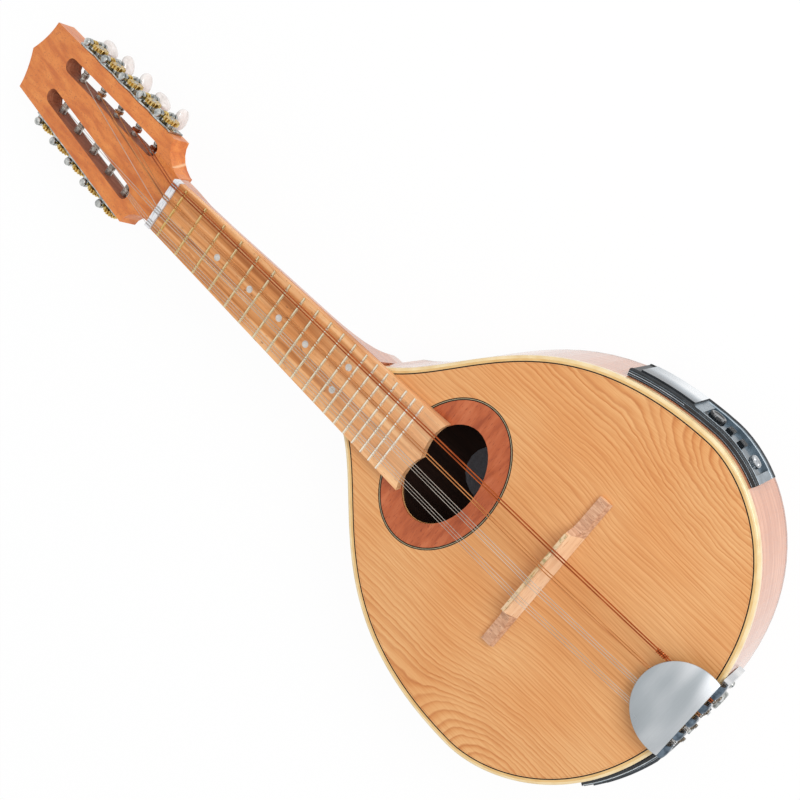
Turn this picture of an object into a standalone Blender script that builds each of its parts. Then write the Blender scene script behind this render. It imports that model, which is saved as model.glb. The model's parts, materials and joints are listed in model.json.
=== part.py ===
"""A ten-string acoustic-electric mandolin, lying on its flat back.

Sizes are named in millimetres and the meshes are made in metres. X runs across, +Y runs
towards the head and +Z is up. Y is zero at the saddle line, and Z is zero under the back.
"""

import math

import bmesh
import bpy
from mathutils import Matrix, Vector

MM = 0.001
GAP = 0.3
SMOOTH_ANGLE = 32.0
CUT_THROUGH = 5.0

# Strings and fretboard
SCALE_LENGTH = 345.0
FRET_COUNT = 18
NUT_WIDTH = 39.0
FRETBOARD_TAPER = 0.066
FRETBOARD_THICKNESS = 4.8
FRETBOARD_END_Y = 102.5
FRETBOARD_SCALLOP = 3.0
FRET_WIDTH = 2.0
FRET_HEIGHT = 1.1
FRET_FOOT = 0.6
FRET_EDGE = 0.2
FRET_CROWN_SHARE = 0.4
FRET_END_INSET = 0.4
ACTION = 1.9
COURSES = (2, 2, 3, 3)
COURSE_PITCH_NUT = 10.4
COURSE_PITCH_SADDLE = 12.7
COURSE_PITCH_TAIL = 11.7
STRING_PITCH = 1.9
STRING_PITCH_TAIL = 1.4
STRING_RADII = (0.5, 0.38, 0.22, 0.18)
WOUND_STRINGS = 4

# Body
BODY_DEPTH = 70.0
BODY_HALF_WIDTH = 132.3
WIDEST_Y = -24.1
TAIL_Y = -125.7
TAIL_HANDLE = 92.0
LOWER_HANDLE = 39.6
UPPER_HANDLE = 123.7
JOINT_Y = 164.0
JOINT_HALF_WIDTH = 22.4
JOINT_HANDLE = 53.9
JOINT_ANGLE = 120.6
OUTLINE_STEPS = 22
FINE_STEPS = 200
TAIL_STEPS = 4
TOP_THICKNESS = 2.8
BACK_THICKNESS = 3.0
RIM_THICKNESS = 3.4
BINDING_HEIGHT = 5.5
PURFLING_WIDTH = 1.0
LINING_WIDTH = 5.5
LINING_HEIGHT = 9.0
LINING_STEPS = 22

# Soundhole and rosette
HOLE_Y = 86.0
HOLE_HALF_X = 36.5
HOLE_HALF_Y = 24.0
HOLE_STEPS = 40
ROSETTE_HALF_X = 53.0
ROSETTE_HALF_Y = 37.4
ROSETTE_STEPS = 48
ROSETTE_THICKNESS = 1.2
LABEL_RADIUS = 19.5
LABEL_THICKNESS = 0.4
LABEL_CENTRE = (-3.0, 76.5)

# Neck and head
NECK_ANGLE = 2.0
NECK_DEPTH_NUT = 14.5
NECK_DEPTH_MIDDLE = 15.5
NECK_DEPTH_HEEL = 17.0
VOLUTE_LENGTH = 16.0
VOLUTE_FADE = 40.0
ROUND_BACK = 2.3
SQUARE_HEEL = 3.5
SQUARE_HEAD = 7.0
SQUARE_NUT = 5.0
ROUND_VOLUTE = 2.6
NECK_STEPS = 12
HEEL_STEPS = 6
HEEL_START_Y = 212.0
HEEL_END_Y = 175.0
HEEL_TAPER = 0.32
HEEL_BOTTOM = 0.6
ZERO_FRET_TO_NUT = 7.0
NUT_LENGTH = 4.8
NUT_HEIGHT = 6.4
NUT_GROOVE_CLEARANCE = 0.35
NUT_TO_HEAD = 0.4
HEAD_ANGLE = 13.0
HEAD_THICKNESS = 15.0
HEAD_WIDE = 35.5
HEAD_SHOULDER = 23.5
HEAD_NARROW = 28.3
HEAD_CORNER = 175.0
HEAD_CROWN = 8.5
HEAD_CROWN_POWER = 1.8
HEAD_STEPS = 6
RAIL_WIDTH = 11.0
SLOT_WIDTH = 11.0
SLOT_START = 31.0
SLOT_END = 148.0

# Tuning machines
TUNERS_A_SIDE = 5
TUNER_PITCH = 23.0
TUNER_START = 41.0
ROLLER_RADIUS = 2.7
ROLLER_WAIST = 2.2
SPINDLE_RADIUS = 1.9
ROLLER_END_DEPTH = 3.5
ROLLER_SHOULDER = 1.5
ROLLER_CONE = 0.8
ROLLER_SIDES = 8
AXLE_END = 0.6
RAIL_BORE_OVERRUN = 2.0
PLATE_THICKNESS = 1.2
PLATE_HALF_HEIGHT = 6.5
PLATE_SCALLOP = 0.7
PLATE_STEPS = 4
GEAR_TEETH = 14
GEAR_PITCH_RADIUS = 5.4
GEAR_TIP_RADIUS = 6.0
GEAR_ROOT_RADIUS = 4.3
GEAR_WIDTH = 2.8
TOOTH_TIP_WIDTH = 0.7
WORM_PITCH_RADIUS = 2.4
WORM_TIP_RADIUS = 2.7
WORM_ROOT_RADIUS = 1.5
THREAD_ROOT_WIDTH = 1.3
THREAD_TIP_WIDTH = 0.5
WORM_TURNS = 2
WORM_STEPS = 8
SHAFT_RADIUS = 1.3
SHAFT_HEAD_RADIUS = 2.9
SHAFT_HEAD_HEIGHT = 2.0
SHAFT_DOME_RADIUS = 1.6
SHAFT_SIDES = 6
STEM_LENGTH = 5.0
LUG_RADIUS = 3.1
LUG_HEIGHT = 2.6
LUG_ROOT = 0.5
BUTTON_WIDTH = 15.5
BUTTON_THICKNESS = 6.5
BUTTON_LENGTH = 11.5
BUTTON_GRIP = 2.5
BUTTON_TURNS = (10.0, 70.0, 20.0, 35.0, 65.0)
WINDING_TURNS = 2.0
WINDING_POINTS = 9
WINDING_SPACE = 0.5
WINDING_START = 2.6
ROLLER_STRING_SPACE = 0.9
ROLLER_STRING_PLACE = 5.4
STRING_CLEARANCE = 0.4
ENTRY_STEPS = 40

# Bridge
BRIDGE_LENGTH = 121.0
BRIDGE_DEPTH = 9.0
BRIDGE_RAISED_LENGTH = 66.0
BRIDGE_CROWN_DEPTH = 3.4
BRIDGE_FRONT = 1.5
BRIDGE_SHOULDER_DEPTH = 5.4
BRIDGE_SHOULDER_RISE = 2.2
BRIDGE_SHOULDER_SHARE = 0.35
WING_DEPTH = 6.8
WING_FALL = 1.2
WING_HEIGHT = 4.2
WING_SCOOP = 7.0
SADDLE_THICKNESS = 2.2
SADDLE_HEIGHT = 2.4
SADDLE_INSET = 1.0

# Tailpiece
TAILPIECE_X = -2.0
TAIL_PLATE_HALF_WIDTH = 30.0
TAIL_PLATE_RISE = 4.5
TAIL_PLATE_DROP = 34.0
TAIL_PLATE_THICKNESS = 1.8
COVER_RADIUS = 30.8
COVER_CENTRE_Y = -117.9
COVER_RISE = 9.3
COVER_THICKNESS = 1.2
COVER_BEND = 3.4
COVER_FOOT_DROP = 1.0
COVER_LAP = 1.5
COVER_STEPS = 24
BEND_STEPS = 4
NOTCH_WIDTH = 5.4
NOTCH_END = 0.8
HOOK_WIDTH = 2.2
HOOK_REACH = 2.7
HOOK_DROP = 6.5
HOOK_LIP = 1.8
HOOK_THICKNESS = 1.2
HOOK_ROOT = 0.8
LOOP_SLACK = 0.6

# Preamplifier, battery box and jack
PREAMP_Y_LOW = -61.0
PREAMP_Y_HIGH = 39.0
PREAMP_BELOW_TOP = 10.0
PREAMP_HEIGHT = 45.0
PREAMP_PROUD = 4.0
PREAMP_FLANGE = 5.0
PREAMP_INNER_DEPTH = 20.0
PREAMP_STEPS = 8
HOLE_OVERRUN = 3.0
JOIN_DEPTH = 1.0
RECESS_Y_LOW = -56.0
RECESS_Y_HIGH = -9.0
RECESS_BELOW_TOP = 15.0
RECESS_HEIGHT = 31.0
RECESS_FLOOR = 1.3
WINDOW_Y_LOW = -3.0
WINDOW_Y_HIGH = 33.0
WINDOW_MARGIN = 6.0
WINDOW_PROUD = 1.6
VOLUME_Y = -16.5
VOLUME_RADIUS = 5.8
TONE_Y = -49.0
TONE_RADIUS = 4.2
KNOB_HEIGHT = 4.0
KNOB_EDGE = 0.8
KNOB_SIDES = 14
SLIDER_BASS_Y = -28.0
SLIDER_TREBLE_Y = -37.5
SLIDER_WIDTH = 5.0
SLIDER_HEIGHT = 7.0
SLIDER_INSET = 0.6
CONTROL_BELOW_TOP = 28.0
BATTERY_X_FAR = -87.0
BATTERY_X_NEAR = -33.0
BATTERY_BELOW_TOP = 8.0
BATTERY_HEIGHT = 47.0
BATTERY_PROUD = 3.4
BATTERY_CELL_MARGIN = 6.0
BATTERY_CELL_BELOW_TOP = 17.0
BATTERY_CELL_HEIGHT = 28.0
BATTERY_CELL_DEPTH = 18.0
BOX_WALL = 1.6
DOOR_MARGIN = 2.5
DOOR_THICKNESS = 2.2
BATTERY_STEPS = 6
JACK_Z = 23.0
JACK_BORE_RADIUS = 3.3
JACK_BARREL_RADIUS = 4.6
JACK_NUT_RADIUS = 6.6
JACK_NUT_HEIGHT = 4.0
JACK_DEPTH = 26.0
JACK_NUT_EDGE = 0.9
JACK_SIDES = 16

# Woodwork inside
NECK_BLOCK_HALF_WIDTH = 18.0
NECK_BLOCK_LENGTH = 28.0
TAIL_BLOCK_HALF_WIDTH = 26.0
TAIL_BLOCK_DEPTH = 15.0
BLOCK_CLEARANCE = 5.0
BRACE_LAP = 2.2
BRACE_WIDTH = 6.0
BRACE_HEIGHT = 8.0
TOP_BRACE_Y = (44.0, -40.0)
BACK_BRACE_Y = (20.0, -60.0)
PICKUP_RADIUS = 10.0
PICKUP_THICKNESS = 1.0
PICKUP_X = 28.0
DISC_SIDES = 20

# Sizes that follow from the ones above
TOP = BODY_DEPTH
PREAMP_Z_HIGH = TOP - PREAMP_BELOW_TOP
PREAMP_Z_LOW = PREAMP_Z_HIGH - PREAMP_HEIGHT
RECESS_Z_HIGH = TOP - RECESS_BELOW_TOP
RECESS_Z_LOW = RECESS_Z_HIGH - RECESS_HEIGHT
CONTROL_Z = TOP - CONTROL_BELOW_TOP
BATTERY_Z_HIGH = TOP - BATTERY_BELOW_TOP
BATTERY_Z_LOW = BATTERY_Z_HIGH - BATTERY_HEIGHT
BATTERY_CELL_Z_HIGH = TOP - BATTERY_CELL_BELOW_TOP
BATTERY_CELL_Z_LOW = BATTERY_CELL_Z_HIGH - BATTERY_CELL_HEIGHT
NECK_SLOPE = math.tan(math.radians(NECK_ANGLE))
NUT_Y = SCALE_LENGTH + ZERO_FRET_TO_NUT
HEAD_Y = NUT_Y + GAP + NUT_LENGTH + NUT_TO_HEAD
HEAD_TAPER = (HEAD_WIDE - HEAD_NARROW) / (HEAD_CORNER - HEAD_SHOULDER)
WORM_PITCH = 2.0 * math.pi * GEAR_PITCH_RADIUS / GEAR_TEETH
WORM_OFFSET = GEAR_PITCH_RADIUS + WORM_PITCH_RADIUS
TUNER_PLACES = [TUNER_START + TUNER_PITCH * row for row in range(TUNERS_A_SIDE)]
SIDES = ((1, "bass"), (-1, "treble"))
ROLLER_LEVEL = -HEAD_THICKNESS / 2.0
STEM_END = ROLLER_LEVEL - STEM_LENGTH
PLATE_OUT = GAP + PLATE_THICKNESS
GEAR_MIDDLE = PLATE_OUT + GAP + LUG_RADIUS
TAIL_FACE_Y = TAIL_Y - GAP - TAIL_PLATE_THICKNESS
FIN_Y = TAIL_FACE_Y - GAP
LEAST_WINDING_GAPS = []

WOOD_TOP = ((0.80, 0.52, 0.24), 0.35, 0.0)
WOOD_SIDE = ((0.52, 0.22, 0.14), 0.25, 0.0)
WOOD_NECK = ((0.66, 0.33, 0.14), 0.4, 0.0)
WOOD_BOARD = ((0.62, 0.36, 0.17), 0.45, 0.0)
MAHOGANY = ((0.42, 0.15, 0.08), 0.35, 0.0)
SPRUCE = ((0.78, 0.62, 0.42), 0.7, 0.0)
CREAM = ((0.86, 0.70, 0.42), 0.3, 0.0)
BLACK = ((0.03, 0.03, 0.035), 0.4, 0.0)
NICKEL = ((0.72, 0.72, 0.70), 0.25, 1.0)
BRASS = ((0.78, 0.58, 0.25), 0.3, 1.0)
BRONZE = ((0.45, 0.24, 0.12), 0.4, 1.0)
PEARL = ((0.88, 0.84, 0.80), 0.2, 0.0)
BONE = ((0.86, 0.86, 0.84), 0.4, 0.0)
PAPER = ((0.45, 0.46, 0.48), 0.8, 0.0)


# Scene and object helpers

def clear_scene():
    for obj in list(bpy.data.objects):
        bpy.data.objects.remove(obj)


def new_collection(name):
    group = bpy.data.collections.new(name)
    bpy.context.scene.collection.children.link(group)
    return group


def new_material(name, look):
    colour, roughness, metallic = look
    mat = bpy.data.materials.new(name)
    mat.use_nodes = True
    shader = mat.node_tree.nodes["Principled BSDF"]
    shader.inputs["Base Color"].default_value = (*colour, 1.0)
    shader.inputs["Roughness"].default_value = roughness
    shader.inputs["Metallic"].default_value = metallic
    return mat


def mesh_object(name, shape, group, origin=Vector((0.0, 0.0, 0.0))):
    """Turns a shape in millimetres into an object in metres with its origin at the given point."""
    bmesh.ops.translate(shape, verts=shape.verts, vec=-Vector(origin))
    bmesh.ops.scale(shape, verts=shape.verts, vec=(MM, MM, MM))
    mesh = bpy.data.meshes.new(name)
    shape.to_mesh(mesh)
    shape.free()
    mesh.shade_smooth()
    mesh.set_sharp_from_angle(angle=math.radians(SMOOTH_ANGLE))
    obj = bpy.data.objects.new(name, mesh)
    obj.location = Vector(origin) * MM
    group.objects.link(obj)
    return obj


def add_part(name, shape, look, origin=Vector((0.0, 0.0, 0.0))):
    obj = mesh_object(name, shape, PARTS, origin)
    obj.data.materials.append(new_material(name, look))
    return obj


def cut(obj, name, shape):
    """Cuts a shape out of an object with a Boolean that stays on the object."""
    cutter = mesh_object(name, shape, CUTTERS)
    cutter.hide_render = True
    cutter.display_type = "WIRE"
    change = obj.modifiers.new(name, "BOOLEAN")
    change.operation = "DIFFERENCE"
    change.solver = "EXACT"
    change.object = cutter


def combine(first, second, operation):
    """One shape from two, by a Boolean that is applied at once."""
    first_obj = mesh_object("first", first, CUTTERS)
    second_obj = mesh_object("second", second, CUTTERS)
    change = first_obj.modifiers.new("combine", "BOOLEAN")
    change.operation = operation
    change.solver = "EXACT"
    change.object = second_obj
    bpy.context.view_layer.update()
    evaluated = first_obj.evaluated_get(bpy.context.evaluated_depsgraph_get())
    mesh = bpy.data.meshes.new_from_object(evaluated)
    shape = bmesh.new()
    shape.from_mesh(mesh)
    bmesh.ops.scale(shape, verts=shape.verts, vec=(1.0 / MM, 1.0 / MM, 1.0 / MM))
    bpy.data.objects.remove(first_obj)
    bpy.data.objects.remove(second_obj)
    bpy.data.meshes.remove(mesh)
    return shape


def union(first, second):
    return combine(first, second, "UNION")


def difference(target, cutter):
    return combine(target, cutter, "DIFFERENCE")


# Shape helpers, all in millimetres

def join(*shapes):
    """Several separate closed shapes as one group."""
    joined = bmesh.new()
    for shape in shapes:
        mesh = bpy.data.meshes.new("piece")
        shape.to_mesh(mesh)
        joined.from_mesh(mesh)
        bpy.data.meshes.remove(mesh)
        shape.free()
    return joined


def moved(shape, matrix):
    """The shape under a matrix. A mirroring matrix turns the faces round again."""
    bmesh.ops.transform(shape, matrix=matrix, verts=shape.verts)
    if matrix.determinant() < 0.0:
        bmesh.ops.reverse_faces(shape, faces=shape.faces)
    return shape


def box(low, high):
    shape = bmesh.new()
    size = [b - a for a, b in zip(low, high)]
    middle = [(a + b) / 2.0 for a, b in zip(low, high)]
    matrix = Matrix.Translation(middle) @ Matrix.Diagonal((*size, 1.0))
    bmesh.ops.create_cube(shape, size=1.0, matrix=matrix)
    return shape


def rod(radius, low, high, segments, top_radius=None):
    """A round bar along Z, or a cone if its top radius differs."""
    shape = bmesh.new()
    top = radius if top_radius is None else top_radius
    bmesh.ops.create_cone(shape, cap_ends=True, segments=segments, radius1=radius, radius2=top,
                          depth=high - low, matrix=Matrix.Translation((0, 0, (low + high) / 2.0)))
    return shape


def lathe(profile, segments):
    """A turned solid about Z from (radius, height) points that start and end on the axis or close."""
    shape = bmesh.new()
    points = [shape.verts.new((radius, 0.0, height)) for radius, height in profile]
    edges = [shape.edges.new(pair) for pair in zip(points, points[1:])]
    if profile[0][0] > 0.0:
        edges.append(shape.edges.new((points[-1], points[0])))
    bmesh.ops.spin(shape, geom=points + edges, axis=(0, 0, 1), cent=(0, 0, 0),
                   angle=2.0 * math.pi, steps=segments, use_merge=True)
    bmesh.ops.remove_doubles(shape, verts=shape.verts, dist=0.0001)
    bmesh.ops.recalc_face_normals(shape, faces=shape.faces)
    return shape


def from_curve(curve):
    holder = bpy.data.objects.new("outline", curve)
    CUTTERS.objects.link(holder)
    bpy.context.view_layer.update()
    mesh = bpy.data.meshes.new_from_object(holder.evaluated_get(bpy.context.evaluated_depsgraph_get()))
    shape = bmesh.new()
    shape.from_mesh(mesh)
    bmesh.ops.remove_doubles(shape, verts=shape.verts, dist=0.001)
    bmesh.ops.recalc_face_normals(shape, faces=shape.faces)
    bpy.data.objects.remove(holder)
    bpy.data.curves.remove(curve)
    bpy.data.meshes.remove(mesh)
    return shape


def prism(loops, low, high):
    """A flat plate between two heights, from closed XY outlines. An inner outline is a hole."""
    curve = bpy.data.curves.new("outline", "CURVE")
    curve.dimensions = "2D"
    curve.fill_mode = "BOTH"
    curve.extrude = (high - low) / 2.0
    for loop in loops:
        spline = curve.splines.new("POLY")
        spline.points.add(len(loop) - 1)
        spline.use_cyclic_u = True
        for point, (x, y) in zip(spline.points, loop):
            point.co = (x, y, 0.0, 1.0)
    shape = from_curve(curve)
    bmesh.ops.translate(shape, verts=shape.verts, vec=(0.0, 0.0, (low + high) / 2.0))
    return shape


def tube(points, radius):
    """A closed round wire through the points."""
    curve = bpy.data.curves.new("wire", "CURVE")
    curve.dimensions = "3D"
    curve.bevel_depth = radius
    curve.bevel_resolution = 1
    curve.use_fill_caps = True
    spline = curve.splines.new("POLY")
    spline.points.add(len(points) - 1)
    for point, place in zip(spline.points, points):
        point.co = (*place, 1.0)
    return from_curve(curve)


def loft(sections):
    """A skin over closed sections with the same number of points, closed at both ends."""
    shape = bmesh.new()
    rings = [[shape.verts.new(point) for point in section] for section in sections]
    for near, far in zip(rings, rings[1:]):
        for i, corner in enumerate(near):
            j = (i + 1) % len(near)
            shape.faces.new((corner, near[j], far[j], far[i]))
    shape.faces.new(rings[0])
    shape.faces.new(rings[-1])
    bmesh.ops.recalc_face_normals(shape, faces=shape.faces)
    return shape


def ellipse(centre, half_x, half_y, count):
    turns = [2.0 * math.pi * i / count for i in range(count)]
    return [(centre[0] + half_x * math.cos(t), centre[1] + half_y * math.sin(t)) for t in turns]


def frame(origin, x_axis, y_axis, z_axis):
    """The matrix whose axes and origin are given."""
    matrix = Matrix((x_axis, y_axis, z_axis)).transposed().to_4x4()
    matrix.translation = origin
    return matrix


# The outline of the body

def cubic(a, b, c, d, t):
    s = 1.0 - t
    return a * s**3 + b * 3.0 * s * s * t + c * 3.0 * s * t * t + d * t**3


def half_outline(steps):
    """The right half of the body's outline, from the tail to the neck, as two Bezier arcs."""
    tail = Vector((0.0, TAIL_Y))
    wide = Vector((BODY_HALF_WIDTH, WIDEST_Y))
    joint = Vector((JOINT_HALF_WIDTH, JOINT_Y))
    turn = math.radians(JOINT_ANGLE)
    towards = Vector((math.cos(turn), math.sin(turn)))
    lower = (tail, tail + Vector((TAIL_HANDLE, 0)), wide - Vector((0, LOWER_HANDLE)), wide)
    upper = (wide, wide + Vector((0, UPPER_HANDLE)), joint - towards * JOINT_HANDLE, joint)
    points = [cubic(*lower, i / steps) for i in range(steps)]
    return points + [cubic(*upper, i / steps) for i in range(steps + 1)]


def body_loop(inset):
    """The whole outline, moved inwards by the inset."""
    right = half_outline(OUTLINE_STEPS)
    left = [Vector((-p.x, p.y)) for p in reversed(right[1:])]
    loop = right + left
    moved_in = []
    for i, point in enumerate(loop):
        before = (point - loop[i - 1]).normalized()
        after = (loop[(i + 1) % len(loop)] - point).normalized()
        inward_a = Vector((-before.y, before.x))
        inward_b = Vector((-after.y, after.x))
        step = (inward_a + inward_b) / (1.0 + inward_a.dot(inward_b))
        moved_in.append(tuple(point + step * inset))
    return moved_in


def rim_points(first, last, offset, mirror, steps):
    """Points along the rim between two stations of the fine outline, at an outward offset."""
    places = []
    for i in range(steps + 1):
        index = round(first + (last - first) * i / steps)
        ahead = FINE[index + 1] - FINE[index - 1] if index else Vector((1.0, 0.0))
        along = ahead.normalized()
        place = FINE[index] + Vector((along.y, -along.x)) * offset
        places.append((place.x * mirror, place.y))
    return places


def rim_strip(ends, offsets, heights, steps, mirror=1):
    """A curved slab that follows the rim, between two stations, two offsets and two heights."""
    near = rim_points(*ends, offsets[0], mirror, steps)
    far = rim_points(*ends, offsets[1], mirror, steps)
    return prism([near + far[::-1]], *heights)


def station_at_y(y):
    """The station of the fine outline nearest to a height on the body's side."""
    return min(range(1, len(FINE) - 1), key=lambda i: abs(FINE[i].y - y))


def station_at_x(x):
    """The station nearest to a distance from the centre line, on the tail side."""
    tail_part = [i for i in range(1, len(FINE) - 1) if FINE[i].y < WIDEST_Y]
    return min(tail_part, key=lambda i: abs(FINE[i].x - abs(x)))


def rim_frame(station, height, mirror=1):
    """A frame on the rim: Z points out of the rim, Y is up the body's depth."""
    here = FINE[station]
    along = (FINE[station + 1] - FINE[station - 1]).normalized()
    outward = Vector((along.y * mirror, -along.x, 0.0))
    up = Vector((0.0, 0.0, 1.0))
    return frame(Vector((here.x * mirror, here.y, height)), up.cross(outward), up, outward)


# Heights along the neck

def neck_top(y):
    """The height of the neck's flat top."""
    return TOP - (y - JOINT_Y) * NECK_SLOPE


def board_top(y):
    return neck_top(y) + GAP + FRETBOARD_THICKNESS


def board_half_width(y):
    return (NUT_WIDTH + FRETBOARD_TAPER * (SCALE_LENGTH - y)) / 2.0


def fret_y(number):
    return SCALE_LENGTH * 2.0 ** (-number / 12.0)


def fret_top(y):
    return board_top(y) + FRET_HEIGHT


def saddle_top():
    """The saddle's height, from the height of the strings over the middle of the scale."""
    octave = fret_y(12)
    start = fret_top(SCALE_LENGTH)
    return start + 2.0 * (fret_top(octave) + ACTION - start)


# The head and its two side frames

def head_matrix():
    turn = math.radians(HEAD_ANGLE)
    tipward = Vector((0.0, math.cos(turn), -math.sin(turn)))
    normal = Vector((0.0, math.sin(turn), math.cos(turn)))
    return frame(Vector((0.0, HEAD_Y, neck_top(HEAD_Y))), Vector((1.0, 0.0, 0.0)), tipward, normal)


def side_matrix(side):
    """A frame on the head's edge: X points out of the side face, Y runs to the tip."""
    lean = math.atan(HEAD_TAPER)
    outward = Vector((side * math.cos(lean), math.sin(lean), 0.0))
    along = Vector((-side * math.sin(lean), math.cos(lean), 0.0))
    edge = Vector((side * (HEAD_WIDE + HEAD_SHOULDER * HEAD_TAPER), 0.0, 0.0))
    return head_matrix() @ frame(edge, outward, along, Vector((0.0, 0.0, 1.0)))


# Pieces of the body

def make_body():
    back = prism([body_loop(0.0)], 0.0, BACK_THICKNESS)
    add_part("back", back, WOOD_SIDE)
    rim = prism([body_loop(0.0), body_loop(RIM_THICKNESS)], BACK_THICKNESS + GAP,
                TOP - BINDING_HEIGHT - GAP)
    rim_obj = add_part("rim", rim, WOOD_SIDE)
    cut(rim_obj, "preamp_hole", preamp_inner(GAP))
    cut(rim_obj, "battery_hole", battery_inner(GAP))
    cut(rim_obj, "jack_hole", jack_bar(JACK_BARREL_RADIUS + GAP))
    binding = prism([body_loop(0.0), body_loop(RIM_THICKNESS)], TOP - BINDING_HEIGHT, TOP)
    add_part("binding", binding, CREAM)
    edge = RIM_THICKNESS + GAP
    line = prism([body_loop(edge), body_loop(edge + PURFLING_WIDTH)], TOP - TOP_THICKNESS, TOP)
    add_part("purfling", line, BLACK)
    centre = (0.0, HOLE_Y)
    hole = ellipse(centre, HOLE_HALF_X, HOLE_HALF_Y, HOLE_STEPS)
    board = prism([body_loop(edge + PURFLING_WIDTH + GAP), hole], TOP - TOP_THICKNESS, TOP)
    board_obj = add_part("soundboard", board, WOOD_TOP)
    bed_outline = ellipse(centre, ROSETTE_HALF_X + GAP, ROSETTE_HALF_Y + GAP, ROSETTE_STEPS)
    bed = prism([bed_outline], TOP - ROSETTE_THICKNESS - GAP, TOP + CUT_THROUGH)
    cut(board_obj, "rosette_bed", bed)
    ring = ellipse(centre, ROSETTE_HALF_X, ROSETTE_HALF_Y, ROSETTE_STEPS)
    add_part("rosette", prism([ring, hole], TOP - ROSETTE_THICKNESS, TOP), MAHOGANY)
    label = rod(LABEL_RADIUS, 0.0, LABEL_THICKNESS, DISC_SIDES)
    place = Matrix.Translation((*LABEL_CENTRE, BACK_THICKNESS + GAP))
    add_part("label", moved(label, place), PAPER)


def rim_half_width(y):
    """The body's half width at a distance along it."""
    return FINE[min(range(1, len(FINE)), key=lambda i: abs(FINE[i].y - y))].x


def lining_and_braces(bottom, brace_bottom, places):
    """Two lining strips and the bars that run between them, glued up as one frame."""
    start = RIM_THICKNESS + GAP
    block_end = JOINT_Y - RIM_THICKNESS - NECK_BLOCK_LENGTH
    ends = (station_at_x(TAIL_BLOCK_HALF_WIDTH + BLOCK_CLEARANCE),
            station_at_y(block_end - BLOCK_CLEARANCE))
    strips = []
    for mirror in (1, -1):
        strips.append(rim_strip(ends, (-start - LINING_WIDTH, -start),
                                (bottom, bottom + LINING_HEIGHT), LINING_STEPS, mirror))
    bars = []
    for y in places:
        half = rim_half_width(y) - start - LINING_WIDTH + BRACE_LAP
        bars.append(box((-half, y - BRACE_WIDTH / 2, brace_bottom),
                        (half, y + BRACE_WIDTH / 2, brace_bottom + BRACE_HEIGHT)))
    return union(join(*strips), join(*bars))


def make_inner_woodwork():
    """Linings, blocks and braces, all glued in and hardly seen."""
    start = RIM_THICKNESS + GAP
    low = BACK_THICKNESS + GAP
    high = TOP - TOP_THICKNESS - GAP
    frame_top = lining_and_braces(high - LINING_HEIGHT, high - BRACE_HEIGHT, TOP_BRACE_Y)
    add_part("top_linings_and_braces", frame_top, SPRUCE)
    add_part("back_linings_and_braces", lining_and_braces(low, low, BACK_BRACE_Y), SPRUCE)
    block_end = JOINT_Y - RIM_THICKNESS - GAP
    add_part("neck_block", box((-NECK_BLOCK_HALF_WIDTH, block_end - NECK_BLOCK_LENGTH, low),
                               (NECK_BLOCK_HALF_WIDTH, block_end, high)), SPRUCE)
    right = rim_points(0, station_at_x(TAIL_BLOCK_HALF_WIDTH), -start, 1, TAIL_STEPS)
    left = [(-x, y) for x, y in reversed(right[1:])]
    inner_y = TAIL_Y + start + TAIL_BLOCK_DEPTH
    half = right[-1][0]
    tail_block = prism([left + right + [(half, inner_y), (-half, inner_y)]], low, high)
    block_obj = add_part("tail_block", tail_block, SPRUCE)
    cut(block_obj, "jack_hole_in_block", jack_bar(JACK_BARREL_RADIUS + GAP))
    disc = rod(PICKUP_RADIUS, high - PICKUP_THICKNESS, high, DISC_SIDES)
    add_part("pickup", moved(disc, Matrix.Translation((PICKUP_X, 0.0, 0.0))), BRASS)


# Neck, fretboard and nut

def neck_section(y, depth, squareness, taper):
    """A D shape across the neck: flat on top, round or squarish below."""
    half = board_half_width(y)
    power = 2.0 / squareness
    points = []
    for i in range(NECK_STEPS + 1):
        turn = math.pi * i / NECK_STEPS
        down = math.sin(turn) ** power
        across = math.copysign(abs(math.cos(turn)) ** power, math.cos(turn))
        points.append((half * across * (1.0 - taper * down), y, neck_top(y) - depth * down))
    return points


def make_neck():
    middle = (NUT_Y + HEEL_START_Y) / 2.0
    sections = [neck_section(HEAD_Y - GAP, HEAD_THICKNESS, SQUARE_HEAD, 0.0),
                neck_section(SCALE_LENGTH, HEAD_THICKNESS, SQUARE_NUT, 0.0),
                neck_section(SCALE_LENGTH - VOLUTE_LENGTH, NECK_DEPTH_NUT, ROUND_VOLUTE, 0.0),
                neck_section(SCALE_LENGTH - VOLUTE_FADE, NECK_DEPTH_NUT, ROUND_BACK, 0.0),
                neck_section(middle, NECK_DEPTH_MIDDLE, ROUND_BACK, 0.0)]
    drop = neck_top(HEEL_END_Y) - NECK_DEPTH_HEEL - HEEL_BOTTOM
    for i in range(HEEL_STEPS + 1):
        turn = math.pi / 2.0 * i / HEEL_STEPS
        y = HEEL_START_Y - (HEEL_START_Y - HEEL_END_Y) * math.sin(turn)
        depth = NECK_DEPTH_HEEL + drop * (1.0 - math.cos(turn))
        share = 1.0 - math.cos(turn)
        squareness = ROUND_BACK + (SQUARE_HEEL - ROUND_BACK) * share
        sections.append(neck_section(y, depth, squareness, HEEL_TAPER * share))
    foot = JOINT_Y + GAP
    sections.append(neck_section(foot, neck_top(foot) - HEEL_BOTTOM, SQUARE_HEEL, HEEL_TAPER))
    add_part("neck", loft(sections), WOOD_NECK)


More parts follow.
